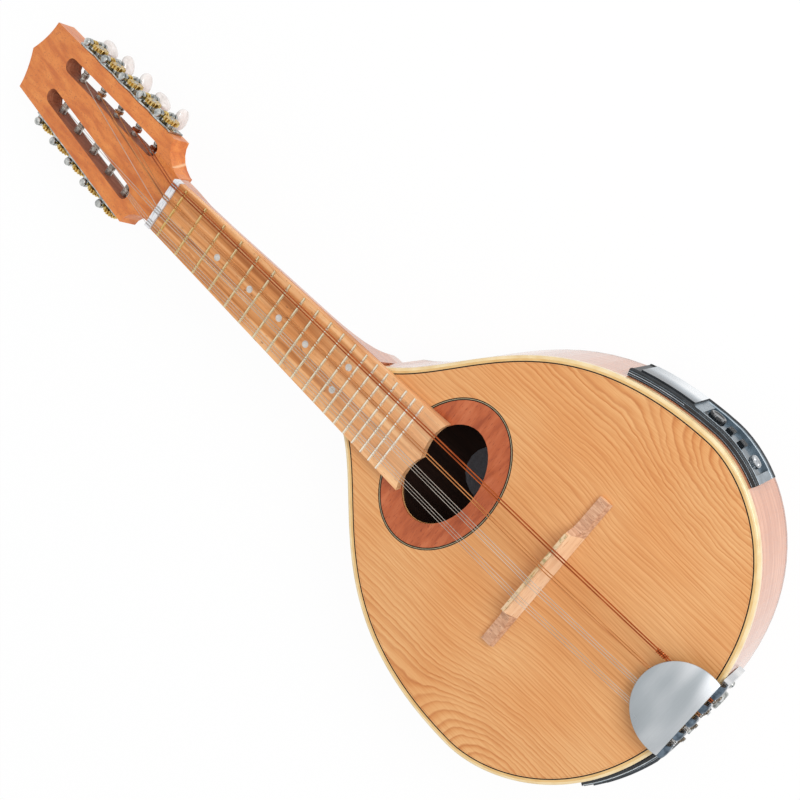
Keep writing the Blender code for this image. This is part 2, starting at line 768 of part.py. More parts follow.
def make_fretboard():
    sections = []
    for y in (FRETBOARD_END_Y, JOINT_Y, NUT_Y):
        half = board_half_width(y)
        low = min(neck_top(y), TOP) + GAP
        high = board_top(y)
        sections.append([(-half, y, low), (half, y, low), (half, y, high), (-half, y, high)])
    board = add_part("fretboard", loft(sections), WOOD_BOARD)
    quarter = board_half_width(FRETBOARD_END_Y) / 2.0
    radius = (quarter**2 + FRETBOARD_SCALLOP**2) / (2.0 * FRETBOARD_SCALLOP)
    centre_y = FRETBOARD_END_Y + FRETBOARD_SCALLOP - radius
    arcs = []
    for side in (-1, 1):
        place = Matrix.Translation((side * quarter, centre_y, 0.0))
        high = board_top(FRETBOARD_END_Y) + CUT_THROUGH
        arcs.append(moved(rod(radius, TOP - CUT_THROUGH, high, 2 * ROSETTE_STEPS), place))
    cut(board, "scallop_left", arcs[0])
    cut(board, "scallop_right", arcs[1])
    wires = mesh_object("fret_wires", fret_wires(), CUTTERS)
    wires.hide_render = True
    wires.display_type = "WIRE"
    change = board.modifiers.new("fret_wires", "BOOLEAN")
    change.operation = "UNION"
    change.solver = "EXACT"
    change.object = wires


def fret_wires():
    """A zero fret and the frets after it, each let into the board by its foot."""
    wires = []
    half = FRET_WIDTH / 2.0
    crown = half * FRET_CROWN_SHARE
    section = [(-half, -FRET_FOOT), (-half, FRET_EDGE), (-crown, FRET_HEIGHT),
               (crown, FRET_HEIGHT), (half, FRET_EDGE), (half, -FRET_FOOT)]
    for number in range(FRET_COUNT + 1):
        y = fret_y(number)
        reach = board_half_width(y) - FRET_END_INSET
        base = board_top(y)
        ends = []
        for x in (-reach, reach):
            ends.append([(x, y + dy, base + dz) for dy, dz in section])
        wires.append(loft(ends))
    return join(*wires)


def string_x(index, course_pitch, string_pitch):
    """How far across a string lies, from its course and its place in the course."""
    course, within = STRINGS[index]
    middle = (len(COURSES) - 1) / 2.0
    return (middle - course) * course_pitch - (within - (COURSES[course] - 1) / 2.0) * string_pitch


def string_radius(index):
    return STRING_RADII[STRINGS[index][0]]


def string_at_nut(index):
    """The string's centre where it leaves the nut."""
    y = NUT_Y + GAP + NUT_LENGTH
    x = string_x(index, COURSE_PITCH_NUT, STRING_PITCH)
    return Vector((x, y, fret_top(SCALE_LENGTH) + string_radius(index)))


def make_nut():
    y_low = NUT_Y + GAP
    half = board_half_width(SCALE_LENGTH)
    base = neck_top(y_low) + GAP
    nut = add_part("nut", box((-half, y_low, base), (half, y_low + NUT_LENGTH, base + NUT_HEIGHT)),
                   BONE)
    grooves = []
    for index in range(len(STRINGS)):
        place = string_at_nut(index)
        reach = string_radius(index) + NUT_GROOVE_CLEARANCE
        low = (place.x - reach, y_low - CUT_THROUGH, place.z - reach)
        high = (place.x + reach, y_low + NUT_LENGTH + CUT_THROUGH,
                base + NUT_HEIGHT + CUT_THROUGH)
        grooves.append(box(low, high))
    cut(nut, "nut_grooves", join(*grooves))


# The head and the tuning machines

def head_outline():
    """The head seen from above its face, with its waist, tapering sides and crown."""
    neck_half = board_half_width(HEAD_Y)
    right = []
    for i in range(HEAD_STEPS + 1):
        turn = math.pi / 2.0 * i / HEAD_STEPS
        x = HEAD_WIDE - (HEAD_WIDE - neck_half) * math.cos(turn)
        right.append((x, HEAD_SHOULDER * math.sin(turn)))
    for i in range(HEAD_STEPS + 1):
        share = i / HEAD_STEPS
        rise = HEAD_CROWN * share**HEAD_CROWN_POWER
        right.append((HEAD_NARROW * (1.0 - share), HEAD_CORNER + rise))
    left = [(-x, y) for x, y in reversed(right[:-1])]
    return right + left


def slot_outline(side):
    """A round-ended slot parallel to the head's edge, in the head's own plane."""
    into = head_matrix().inverted() @ side_matrix(side)
    middle = -RAIL_WIDTH - SLOT_WIDTH / 2.0
    radius = SLOT_WIDTH / 2.0
    points = []
    for end, centre in ((1, SLOT_END - SLOT_WIDTH / 2.0), (-1, SLOT_START + SLOT_WIDTH / 2.0)):
        for i in range(HEAD_STEPS + 1):
            turn = math.pi * i / HEAD_STEPS
            local = Vector((middle + radius * end * math.cos(turn),
                            centre + radius * end * math.sin(turn), 0.0))
            flat = into @ local
            points.append((flat.x, flat.y))
    return points


def make_headstock():
    slab = prism([head_outline(), slot_outline(1), slot_outline(-1)], -HEAD_THICKNESS, 0.0)
    head = moved(slab, head_matrix())
    geometry = head.verts[:] + head.edges[:] + head.faces[:]
    bmesh.ops.bisect_plane(head, geom=geometry, dist=0.0001, plane_co=(0.0, HEAD_Y, 0.0),
                           plane_no=(0.0, -1.0, 0.0), clear_outer=True)
    rims = [edge for edge in head.edges if edge.is_boundary]
    bmesh.ops.holes_fill(head, edges=rims)
    bmesh.ops.recalc_face_normals(head, faces=head.faces)
    head_obj = add_part("headstock", head, WOOD_NECK)
    holes = []
    inner_wall = -RAIL_WIDTH - SLOT_WIDTH
    for side, side_name in SIDES:
        for along in TUNER_PLACES:
            across = Matrix.Translation((0.0, along, ROLLER_LEVEL)) @ Matrix.Rotation(
                math.pi / 2.0, 4, "Y")
            place = side_matrix(side) @ across
            rail = rod(ROLLER_RADIUS + GAP, -RAIL_WIDTH - RAIL_BORE_OVERRUN, RAIL_BORE_OVERRUN,
                       ROLLER_SIDES)
            end = rod(SPINDLE_RADIUS + GAP, inner_wall - ROLLER_END_DEPTH - GAP,
                      inner_wall + RAIL_BORE_OVERRUN, ROLLER_SIDES)
            holes.append(moved(rail, place))
            holes.append(moved(end, place))
    cut(head_obj, "roller_holes", join(*holes))


def plate_outline():
    """A long plate with a gentle scallop, widest at each worm and narrowest between them."""
    crest = TUNER_START + WORM_OFFSET
    upper = []
    for step in range(1 - PLATE_STEPS, PLATE_STEPS * (TUNERS_A_SIDE - 1) + PLATE_STEPS // 2):
        wave = math.cos(2.0 * math.pi * step / PLATE_STEPS)
        along = crest + TUNER_PITCH * step / PLATE_STEPS
        upper.append((along, PLATE_HALF_HEIGHT + PLATE_SCALLOP * wave))
    lower = [(along, -height) for along, height in reversed(upper)]
    return upper + lower


def lug_outline():
    """An ear that stands out from the plate round the worm's shaft."""
    root = PLATE_OUT - LUG_ROOT
    points = [(root, -LUG_RADIUS), (root, LUG_RADIUS)]
    for i in range(BEND_STEPS + 1):
        turn = math.pi / 2.0 - math.pi * i / BEND_STEPS
        points.append((GEAR_MIDDLE + LUG_RADIUS * math.cos(turn), LUG_RADIUS * math.sin(turn)))
    return points


def make_tuner_plates():
    stood_up = Matrix(((0, 0, 1, 0), (1, 0, 0, 0), (0, 1, 0, ROLLER_LEVEL), (0, 0, 0, 1)))
    for side, side_name in SIDES:
        radius = SPINDLE_RADIUS + GAP
        holes = [ellipse((along, 0.0), radius, radius, ROLLER_SIDES) for along in TUNER_PLACES]
        plate = moved(prism([plate_outline()] + holes, GAP, PLATE_OUT), stood_up)
        bore = SHAFT_RADIUS + GAP
        lugs = []
        for along in TUNER_PLACES:
            for bottom in lug_levels():
                hole = ellipse((GEAR_MIDDLE, 0.0), bore, bore, SHAFT_SIDES)
                lug = prism([lug_outline(), hole], bottom, bottom + LUG_HEIGHT)
                lugs.append(moved(lug, Matrix.Translation((0.0, along + WORM_OFFSET, 0.0))))
        whole = union(plate, join(*lugs))
        add_part(f"tuner_plate_{side_name}", moved(whole, side_matrix(side)), NICKEL)


def lug_levels():
    """The undersides of the upper and lower lug, clear of the worm between them."""
    half = worm_half_length()
    return (ROLLER_LEVEL + half + GAP, ROLLER_LEVEL - half - GAP - LUG_HEIGHT)


def worm_half_length():
    return WORM_PITCH * (WORM_TURNS + 1) / 2.0


def worm_shape():
    """A shaft with a cut screw thread, a domed head above and a plain stem below.

    One pitch of the thread's profile is swept round a helix, so its turns join. The sweep starts
    on the far side from the gear, so that a root of the thread faces the gear at mid height.
    """
    shape = bmesh.new()
    pitch = WORM_PITCH
    low = -worm_half_length()
    middle = pitch / 2.0
    profile = [(WORM_ROOT_RADIUS, middle - THREAD_ROOT_WIDTH / 2.0),
               (WORM_TIP_RADIUS, middle - THREAD_TIP_WIDTH / 2.0),
               (WORM_TIP_RADIUS, middle + THREAD_TIP_WIDTH / 2.0),
               (WORM_ROOT_RADIUS, middle + THREAD_ROOT_WIDTH / 2.0),
               (WORM_ROOT_RADIUS, middle - THREAD_ROOT_WIDTH / 2.0 + pitch)]
    turn = math.pi / 2.0
    ring = []
    for radius, height in profile:
        place = (radius * math.cos(turn), radius * math.sin(turn), low + height)
        ring.append(shape.verts.new(place))
    edges = [shape.edges.new(pair) for pair in zip(ring, ring[1:])]
    bmesh.ops.spin(shape, geom=ring + edges, axis=(0, 0, 1), cent=(0, 0, 0),
                   dvec=(0, 0, pitch / WORM_STEPS), angle=2.0 * math.pi * WORM_TURNS,
                   steps=WORM_STEPS * WORM_TURNS)
    bmesh.ops.remove_doubles(shape, verts=shape.verts, dist=0.001)
    rims = [edge for edge in shape.edges if edge.is_boundary]
    filled = bmesh.ops.holes_fill(shape, edges=rims)
    bmesh.ops.poke(shape, faces=filled["faces"])
    bmesh.ops.recalc_face_normals(shape, faces=shape.faces)
    upper, lower = lug_levels()
    head = upper + LUG_HEIGHT + GAP - ROLLER_LEVEL
    dome = head + SHAFT_HEAD_HEIGHT
    shaft = lathe([(0.0, dome), (SHAFT_DOME_RADIUS, head + 0.8 * SHAFT_HEAD_HEIGHT),
                   (SHAFT_HEAD_RADIUS, head + 0.25 * SHAFT_HEAD_HEIGHT),
                   (SHAFT_HEAD_RADIUS, head), (SHAFT_RADIUS, head), (SHAFT_RADIUS, STEM_END),
                   (0.0, STEM_END)], SHAFT_SIDES)
    return union(shape, shaft)


def button_shape(turn):
    """An oval button that grips the end of the shaft, turned about it by an angle in degrees."""
    shape = bmesh.new()
    bmesh.ops.create_uvsphere(shape, u_segments=10, v_segments=5, radius=0.5)
    bmesh.ops.scale(shape, verts=shape.verts,
                    vec=(BUTTON_WIDTH, BUTTON_THICKNESS, BUTTON_LENGTH))
    top = STEM_END + BUTTON_GRIP
    place = Matrix.Translation((0.0, 0.0, top - BUTTON_LENGTH / 2.0))
    return moved(shape, place @ Matrix.Rotation(math.radians(turn), 4, "Z"))


def gear_shape():
    """A small helical gear about Z, with a tooth on +Y. Its teeth lean to follow the thread."""
    lead = math.atan(WORM_PITCH / (2.0 * math.pi * WORM_PITCH_RADIUS))
    twist = GEAR_WIDTH * math.tan(lead) / GEAR_PITCH_RADIUS
    outline = []
    for tooth in range(GEAR_TEETH):
        middle = math.pi / 2.0 + 2.0 * math.pi * tooth / GEAR_TEETH
        tip = TOOTH_TIP_WIDTH / 2.0 / GEAR_TIP_RADIUS
        outline.append((GEAR_TIP_RADIUS, middle - tip))
        outline.append((GEAR_TIP_RADIUS, middle + tip))
        outline.append((GEAR_ROOT_RADIUS, middle + math.pi / GEAR_TEETH))
    ends = []
    for z, lean in ((-GEAR_WIDTH / 2.0, -twist / 2.0), (GEAR_WIDTH / 2.0, twist / 2.0)):
        ends.append([(radius * math.cos(turn + lean), radius * math.sin(turn + lean), z)
                     for radius, turn in outline])
    return loft(ends)


def roller_shape():
    """A turned roller about Z, from its blind end in the head to the gear on its outer end."""
    inner = -RAIL_WIDTH - SLOT_WIDTH
    outer = inner + SLOT_WIDTH
    end = GEAR_MIDDLE + GEAR_WIDTH / 2.0 + AXLE_END
    return lathe([(0.0, end), (SPINDLE_RADIUS, end), (SPINDLE_RADIUS, -GAP), (ROLLER_RADIUS, -GAP),
                  (ROLLER_RADIUS, outer - ROLLER_SHOULDER),
                  (ROLLER_WAIST, outer - ROLLER_SHOULDER - ROLLER_CONE),
                  (ROLLER_WAIST, inner + ROLLER_SHOULDER + ROLLER_CONE),
                  (ROLLER_RADIUS, inner + ROLLER_SHOULDER),
                  (ROLLER_RADIUS, inner + GAP), (SPINDLE_RADIUS, inner + GAP),
                  (SPINDLE_RADIUS, inner - ROLLER_END_DEPTH),
                  (0.0, inner - ROLLER_END_DEPTH)], ROLLER_SIDES)


def winding_points(radius):
    """The turns of a string round its roller's waist. The first point is inside the roller."""
    pitch = 2.0 * radius + WINDING_SPACE
    reach = ROLLER_WAIST + GAP + radius
    start = -RAIL_WIDTH - SLOT_WIDTH + WINDING_START + radius
    points = [Vector((ROLLER_WAIST / 2.0, 0.0, start))]
    for i in range(int(WINDING_TURNS * WINDING_POINTS) + 1):
        turn = 2.0 * math.pi * i / WINDING_POINTS
        points.append(Vector((reach * math.cos(turn), reach * math.sin(turn),
                              start + pitch * i / WINDING_POINTS)))
    return points


def least_gap(points, radius, apart):
    """The least free space between turns of one wire, measured on its points."""
    best = 1.0e9
    for i, one in enumerate(points):
        for other in points[i + apart:]:
            best = min(best, (one - other).length - 2.0 * radius)
    return best


def make_tuners():
    worm = bpy.data.meshes.new("worm")
    source = worm_shape()
    source.to_mesh(worm)
    source.free()
    lying = Matrix.Rotation(math.pi / 2.0, 4, "Y")
    for side, side_name in SIDES:
        for row, along in enumerate(TUNER_PLACES):
            label = f"{side_name}_{row + 1}"
            axle = side_matrix(side) @ Matrix.Translation((0.0, along, ROLLER_LEVEL)) @ lying
            gear = moved(gear_shape(), Matrix.Translation((0.0, 0.0, GEAR_MIDDLE)))
            roller = union(roller_shape(), gear)
            if side == 1 and row < WOUND_STRINGS:
                radius = string_radius(row)
                points = winding_points(radius)
                LEAST_WINDING_GAPS.append(least_gap(points[1:], radius, WINDING_POINTS - 2))
                roller = union(roller, tube(points, radius))
            add_part(f"string_roller_{label}", moved(roller, axle), NICKEL, axle.translation)
            stem = Matrix.Translation((GEAR_MIDDLE, along + WORM_OFFSET, ROLLER_LEVEL))
            stem = side_matrix(side) @ stem
            shaft = bmesh.new()
            shaft.from_mesh(worm)
            key = union(shaft, button_shape(BUTTON_TURNS[row]))
            add_part(f"tuning_key_{label}", moved(key, stem), PEARL, stem.translation)
    bpy.data.meshes.remove(worm)


# Strings, bridge and tailpiece

def head_local(point):
    return head_matrix().inverted() @ point


def string_path(index):
    """The string's centre line, from its hook to its roller."""
    radius = string_radius(index)
    x_tail = TAILPIECE_X + string_x(index, COURSE_PITCH_TAIL, STRING_PITCH_TAIL)
    x_saddle = string_x(index, COURSE_PITCH_SADDLE, STRING_PITCH)
    x_nut = string_x(index, COURSE_PITCH_NUT, STRING_PITCH)
    edge_z = TOP + TAIL_PLATE_RISE + GAP + radius
    out_y = TAIL_FACE_Y - STRING_CLEARANCE - radius
    hook_z = TOP - HOOK_DROP + HOOK_THICKNESS / 2.0 + GAP + radius
    points = [Vector((x_tail, out_y, hook_z)), Vector((x_tail, out_y, edge_z - LOOP_SLACK)),
              Vector((x_tail, TAIL_FACE_Y + LOOP_SLACK, edge_z + LOOP_SLACK / 2.0)),
              Vector((x_saddle, 0.0, saddle_top() + GAP + radius)),
              Vector((x_nut, SCALE_LENGTH, fret_top(SCALE_LENGTH) + GAP + radius)),
              string_at_nut(index)]
    side = 1 if index < TUNERS_A_SIDE else -1
    row = index if side == 1 else len(STRINGS) - 1 - index
    along = TUNER_START + TUNER_PITCH * row
    reach = ROLLER_RADIUS + GAP + 2.0 * radius + ROLLER_STRING_SPACE
    across = -RAIL_WIDTH - SLOT_WIDTH + ROLLER_STRING_PLACE
    end = side_matrix(side) @ Vector((across, along, ROLLER_LEVEL + reach))
    start = head_local(points[-1])
    finish = head_local(end)
    lean = HEAD_WIDE + HEAD_SHOULDER * HEAD_TAPER - RAIL_WIDTH - SLOT_WIDTH
    entry = 1.0
    for i in range(1, ENTRY_STEPS):
        share = i / ENTRY_STEPS
        here = start.lerp(finish, share)
        inner = lean - here.y * HEAD_TAPER + radius + STRING_CLEARANCE
        if here.y > SLOT_START + SLOT_WIDTH / 4.0 and abs(here.x) > inner:
            entry = share
            break
    bend = start.lerp(finish, entry)
    if entry < 1.0 and bend.z < radius + STRING_CLEARANCE:
        bend.z = radius + STRING_CLEARANCE
        points.append(head_matrix() @ bend)
    points.append(end)
    return points


def make_strings():
    for index in range(len(STRINGS)):
        wire = tube(string_path(index), string_radius(index))
        add_part(f"string_{index + 1}", wire, BRONZE if index < WOUND_STRINGS else NICKEL)


def make_bridge():
    base = TOP + GAP
    crown = saddle_top() - SADDLE_HEIGHT - GAP
    half_raised = BRIDGE_RAISED_LENGTH / 2.0
    half = BRIDGE_LENGTH / 2.0
    wing = base + WING_HEIGHT
    shoulder = half_raised + WING_SCOOP * BRIDGE_SHOULDER_SHARE
    stations = [(half, wing - WING_FALL, WING_DEPTH), (half_raised + WING_SCOOP, wing, WING_DEPTH),
                (shoulder, wing + BRIDGE_SHOULDER_RISE, BRIDGE_SHOULDER_DEPTH),
                (half_raised, crown, BRIDGE_CROWN_DEPTH)]
    stations = stations + [(-x, z, depth) for x, z, depth in reversed(stations)]
    sections = []
    for x, z, depth in stations:
        sections.append([(x, BRIDGE_FRONT - BRIDGE_DEPTH, base), (x, BRIDGE_FRONT, base),
                         (x, BRIDGE_FRONT, z), (x, BRIDGE_FRONT - depth, z)])
    add_part("bridge", loft(sections), WOOD_BOARD)
    reach = half_raised - SADDLE_INSET
    add_part("saddle", box((-reach, BRIDGE_FRONT - SADDLE_THICKNESS, crown + GAP),
                           (reach, BRIDGE_FRONT, saddle_top())), BONE)


def hook_x(course):
    return TAILPIECE_X + ((len(COURSES) - 1) / 2.0 - course) * COURSE_PITCH_TAIL


def make_tailpiece():
    right = rim_points(0, station_at_x(TAIL_PLATE_HALF_WIDTH), GAP, 1, TAIL_STEPS)
    left = [(-x, y) for x, y in reversed(right[1:])]
    half = right[-1][0]
    outline = left + right + [(half, TAIL_FACE_Y), (-half, TAIL_FACE_Y)]
    plate = prism([outline], TOP - TAIL_PLATE_DROP, TOP + TAIL_PLATE_RISE)
    arms = []
    level = TOP - HOOK_DROP
    tip = TAIL_FACE_Y - HOOK_REACH
    root = TAIL_FACE_Y + HOOK_ROOT
    thin = HOOK_THICKNESS / 2.0
    for course in range(len(COURSES)):
        x = hook_x(course)
        profile = [(root, level - thin), (root, level + thin), (tip, level + thin),
                   (tip, level - HOOK_LIP), (tip + HOOK_THICKNESS, level - HOOK_LIP),
                   (tip + HOOK_THICKNESS, level - thin)]
        ends = []
        for reach in (-HOOK_WIDTH / 2.0, HOOK_WIDTH / 2.0):
            ends.append([(x + reach, y, z) for y, z in profile])
        arms.append(loft(ends))
    add_part("tailpiece_plate", union(plate, join(*arms)), NICKEL)

    low = TOP + COVER_RISE
    high = low + COVER_THICKNESS
    bend_y = FIN_Y + COVER_BEND
    disc = []
    for i in range(COVER_STEPS + 1):
        turn = math.pi * i / COVER_STEPS
        disc.append((TAILPIECE_X + COVER_RADIUS * math.cos(turn),
                     COVER_CENTRE_Y + COVER_RADIUS * math.sin(turn)))
    disc += [(TAILPIECE_X - COVER_RADIUS, bend_y), (TAILPIECE_X + COVER_RADIUS, bend_y)]
    flat = prism([disc], low, high)
    outer = []
    inner = []
    for i in range(BEND_STEPS + 1):
        turn = math.pi / 2.0 * (1.0 + i / BEND_STEPS)
        outer.append((bend_y + (COVER_BEND + COVER_THICKNESS) * math.cos(turn),
                      low - COVER_BEND + (COVER_BEND + COVER_THICKNESS) * math.sin(turn)))
        inner.append((bend_y + COVER_BEND * math.cos(turn),
                      low - COVER_BEND + COVER_BEND * math.sin(turn)))
    foot = TOP - COVER_FOOT_DROP
    section = [(bend_y + COVER_LAP, high)] + outer + [(FIN_Y - COVER_THICKNESS, foot), (FIN_Y, foot)]
    section += inner[::-1] + [(bend_y + COVER_LAP, low)]
    ends = []
    for x in (TAILPIECE_X - COVER_RADIUS, TAILPIECE_X + COVER_RADIUS):
        ends.append([(x, y, z) for y, z in section])
    cover = union(flat, loft(ends))
    cover_obj = add_part("tailpiece_cover", cover, NICKEL)
    notches = []
    for course in range(len(COURSES)):
        x = hook_x(course)
        notches.append(box((x - NOTCH_WIDTH / 2.0, FIN_Y - CUT_THROUGH, foot - CUT_THROUGH),
                           (x + NOTCH_WIDTH / 2.0, bend_y - NOTCH_END, high + CUT_THROUGH)))
    cut(cover_obj, "cover_notches", join(*notches))


# Electrics

def preamp_inner(grow):
    """The part of the preamplifier that passes through the rim."""
    ends = (station_at_y(PREAMP_Y_LOW + PREAMP_FLANGE - grow),
            station_at_y(PREAMP_Y_HIGH - PREAMP_FLANGE + grow))
    extra = HOLE_OVERRUN if grow else 0.0
    return rim_strip(ends, (-PREAMP_INNER_DEPTH - extra, GAP + JOIN_DEPTH + extra),
                     (PREAMP_Z_LOW + PREAMP_FLANGE - grow, PREAMP_Z_HIGH - PREAMP_FLANGE + grow),
                     PREAMP_STEPS)


def make_preamp():
    ends = (station_at_y(PREAMP_Y_LOW), station_at_y(PREAMP_Y_HIGH))
    bezel = rim_strip(ends, (GAP, GAP + PREAMP_PROUD), (PREAMP_Z_LOW, PREAMP_Z_HIGH),
                      PREAMP_STEPS)
    ends = (station_at_y(WINDOW_Y_LOW), station_at_y(WINDOW_Y_HIGH))
    window = rim_strip(ends, (GAP + JOIN_DEPTH, GAP + PREAMP_PROUD + WINDOW_PROUD),
                       (PREAMP_Z_LOW + WINDOW_MARGIN, PREAMP_Z_HIGH - WINDOW_MARGIN),
                       PREAMP_STEPS // 2)
    whole = union(union(bezel, preamp_inner(0.0)), window)
    housing = add_part("preamp_housing", whole, BLACK)
    floor = GAP + RECESS_FLOOR
    ends = (station_at_y(RECESS_Y_LOW), station_at_y(RECESS_Y_HIGH))
    recess = rim_strip(ends, (floor, floor + 2.0 * CUT_THROUGH), (RECESS_Z_LOW, RECESS_Z_HIGH),
                       PREAMP_STEPS // 2)
    cut(housing, "preamp_recess", recess)
    seat = floor + 2.0 * GAP
    top = seat + KNOB_HEIGHT
    for name, y, radius in (("volume_knob", VOLUME_Y, VOLUME_RADIUS),
                            ("tone_knob", TONE_Y, TONE_RADIUS)):
        place = rim_frame(station_at_y(y), CONTROL_Z)
        knob = lathe([(0.0, top), (radius - KNOB_EDGE, top), (radius, top - KNOB_EDGE),
                      (radius, seat), (0.0, seat)], KNOB_SIDES)
        add_part(name, moved(knob, place), BLACK, place.translation)
    for name, y in (("bass_slider", SLIDER_BASS_Y), ("treble_slider", SLIDER_TREBLE_Y)):
        place = rim_frame(station_at_y(y), CONTROL_Z)
        half = SLIDER_WIDTH / 2.0
        tall = SLIDER_HEIGHT / 2.0
        block = box((-half, -tall, seat), (half, tall, top - SLIDER_INSET))
        add_part(name, moved(block, place), BLACK, place.translation)


def battery_stations(margin):
    """Stations along the tail rim at the box's two ends, each moved in by a margin."""
    return (station_at_x(-BATTERY_X_NEAR + margin), station_at_x(-BATTERY_X_FAR - margin))


def battery_inner(grow):
    """The cup of the battery box that passes through the rim."""
    ends = battery_stations(BATTERY_CELL_MARGIN - BOX_WALL - grow)
    extra = HOLE_OVERRUN if grow else 0.0
    return rim_strip(ends, (-BATTERY_CELL_DEPTH - BOX_WALL - extra, GAP + JOIN_DEPTH + extra),
                     (BATTERY_CELL_Z_LOW - BOX_WALL - grow, BATTERY_CELL_Z_HIGH + BOX_WALL + grow),
                     BATTERY_STEPS, -1)


def make_battery_box():
    flange = rim_strip(battery_stations(0.0), (GAP, GAP + BATTERY_PROUD),
                       (BATTERY_Z_LOW, BATTERY_Z_HIGH), BATTERY_STEPS, -1)
    holder = add_part("battery_box", union(flange, battery_inner(0.0)), BLACK)
    outside = GAP + BATTERY_PROUD + CUT_THROUGH
    cell = rim_strip(battery_stations(BATTERY_CELL_MARGIN), (-BATTERY_CELL_DEPTH, outside),
                     (BATTERY_CELL_Z_LOW, BATTERY_CELL_Z_HIGH), BATTERY_STEPS, -1)
    cut(holder, "battery_cell", cell)
    ends = battery_stations(BATTERY_CELL_MARGIN - DOOR_MARGIN)
    inner = GAP + BATTERY_PROUD + GAP
    bottom = BATTERY_CELL_Z_LOW - DOOR_MARGIN
    door = rim_strip(ends, (inner, inner + DOOR_THICKNESS),
                     (bottom, BATTERY_CELL_Z_HIGH + DOOR_MARGIN), BATTERY_STEPS, -1)
    place = rim_frame(sum(ends) // 2, bottom, -1)
    hinge = place @ Vector((0.0, 0.0, inner + DOOR_THICKNESS / 2.0))
    add_part("battery_door", door, BLACK, hinge)


def jack_bar(radius):
    """A bar through the tail, on the jack's axis."""
    turned = Matrix.Translation((0.0, TAIL_Y, JACK_Z)) @ Matrix.Rotation(math.pi / 2.0, 4, "X")
    return moved(rod(radius, -JACK_DEPTH - CUT_THROUGH, CUT_THROUGH, JACK_SIDES), turned)


def make_jack():
    top = GAP + JACK_NUT_HEIGHT
    profile = [(JACK_BORE_RADIUS, top), (JACK_NUT_RADIUS - JACK_NUT_EDGE, top),
               (JACK_NUT_RADIUS, top - JACK_NUT_EDGE), (JACK_NUT_RADIUS, GAP),
               (JACK_BARREL_RADIUS, GAP),
               (JACK_BARREL_RADIUS, -JACK_DEPTH), (JACK_BORE_RADIUS, -JACK_DEPTH)]
    turned = Matrix.Translation((0.0, TAIL_Y, JACK_Z)) @ Matrix.Rotation(math.pi / 2.0, 4, "X")
    add_part("output_jack", moved(lathe(profile, JACK_SIDES), turned), NICKEL)


clear_scene()
PARTS = new_collection("ten_string_mandolin")
CUTTERS = new_collection("cutters")
FINE = half_outline(FINE_STEPS)
STRINGS = []
for course_number, count in enumerate(COURSES):
    for string_number in range(count):
        STRINGS.append((course_number, string_number))

make_body()
make_inner_woodwork()
make_neck()
make_fretboard()
make_nut()
make_headstock()
make_tuner_plates()
make_tuners()
make_strings()
make_bridge()
make_tailpiece()
make_preamp()
make_battery_box()
make_jack()
print("least gap between turns of a winding, mm:", round(min(LEAST_WINDING_GAPS), 3))
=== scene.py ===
# %% [markdown]
# # A ten-string acoustic-electric mandolin
#
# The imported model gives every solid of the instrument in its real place. This script dresses it:
# each wood, metal, plastic and string gets a finish built from nodes, the trims that are too thin
# for the solids are added, the small turned pieces are made again with finer detail, and a camera
# and a plain studio light are set up. X runs across the instrument, Y towards its head, Z up.

# %% Load the frame
import json
import math

import bmesh
import bpy
from mathutils import Matrix, Vector


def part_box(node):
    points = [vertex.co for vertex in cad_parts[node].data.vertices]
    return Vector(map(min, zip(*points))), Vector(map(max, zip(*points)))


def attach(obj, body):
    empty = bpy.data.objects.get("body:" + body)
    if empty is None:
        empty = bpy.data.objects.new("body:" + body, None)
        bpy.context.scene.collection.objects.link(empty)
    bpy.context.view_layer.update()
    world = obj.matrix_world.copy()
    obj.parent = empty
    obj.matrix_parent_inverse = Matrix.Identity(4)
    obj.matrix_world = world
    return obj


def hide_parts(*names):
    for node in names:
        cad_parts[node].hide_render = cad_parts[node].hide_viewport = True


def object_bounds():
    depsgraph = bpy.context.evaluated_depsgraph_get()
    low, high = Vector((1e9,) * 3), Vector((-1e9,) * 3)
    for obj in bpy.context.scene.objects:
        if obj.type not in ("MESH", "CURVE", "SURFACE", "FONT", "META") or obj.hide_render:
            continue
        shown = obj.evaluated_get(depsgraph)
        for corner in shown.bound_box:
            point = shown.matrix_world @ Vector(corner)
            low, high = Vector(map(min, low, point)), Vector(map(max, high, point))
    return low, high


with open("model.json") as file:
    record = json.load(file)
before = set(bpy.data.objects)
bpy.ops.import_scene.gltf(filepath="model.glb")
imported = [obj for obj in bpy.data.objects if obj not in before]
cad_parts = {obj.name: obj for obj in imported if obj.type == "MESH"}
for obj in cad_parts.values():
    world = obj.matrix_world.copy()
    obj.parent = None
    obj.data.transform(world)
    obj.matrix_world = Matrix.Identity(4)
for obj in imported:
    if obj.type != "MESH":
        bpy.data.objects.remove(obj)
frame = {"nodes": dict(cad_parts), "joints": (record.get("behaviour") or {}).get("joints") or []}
cad_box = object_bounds()
nodes = frame["nodes"]
joints = {joint["name"]: joint for joint in frame["joints"]}
MM = 0.001
BODY = "mandolin"
TUNERS = [f"{side}_{row}" for side in ("bass", "treble") for row in range(1, 6)]
print("solids in the frame:", len(nodes), "joints:", len(joints))

# %% [markdown]
# ## Colours and nodes
#
# Colours are easiest to read as sRGB hex codes, the way a paint program shows them, while shaders
# work with linear light, so one function converts them. A second one adds a node, sets its
# properties and its colour stops, and sets or links its inputs. A node can be given as an input,
# which links its first output, so a material reads as a short list of what it is made of. The last
# node of a chain names the shader's socket that it feeds.


# %% Colours
def linear(code):
    """A colour written as sRGB hex, in the linear values that shaders use."""
    parts = [int(code[i:i + 2], 16) / 255.0 for i in (1, 3, 5)]
    mixed = [c / 12.92 if c <= 0.04045 else ((c + 0.055) / 1.055) ** 2.4 for c in parts]
    return (*mixed, 1.0)


print("middle grey, linear:", round(linear("#808080")[0], 3))


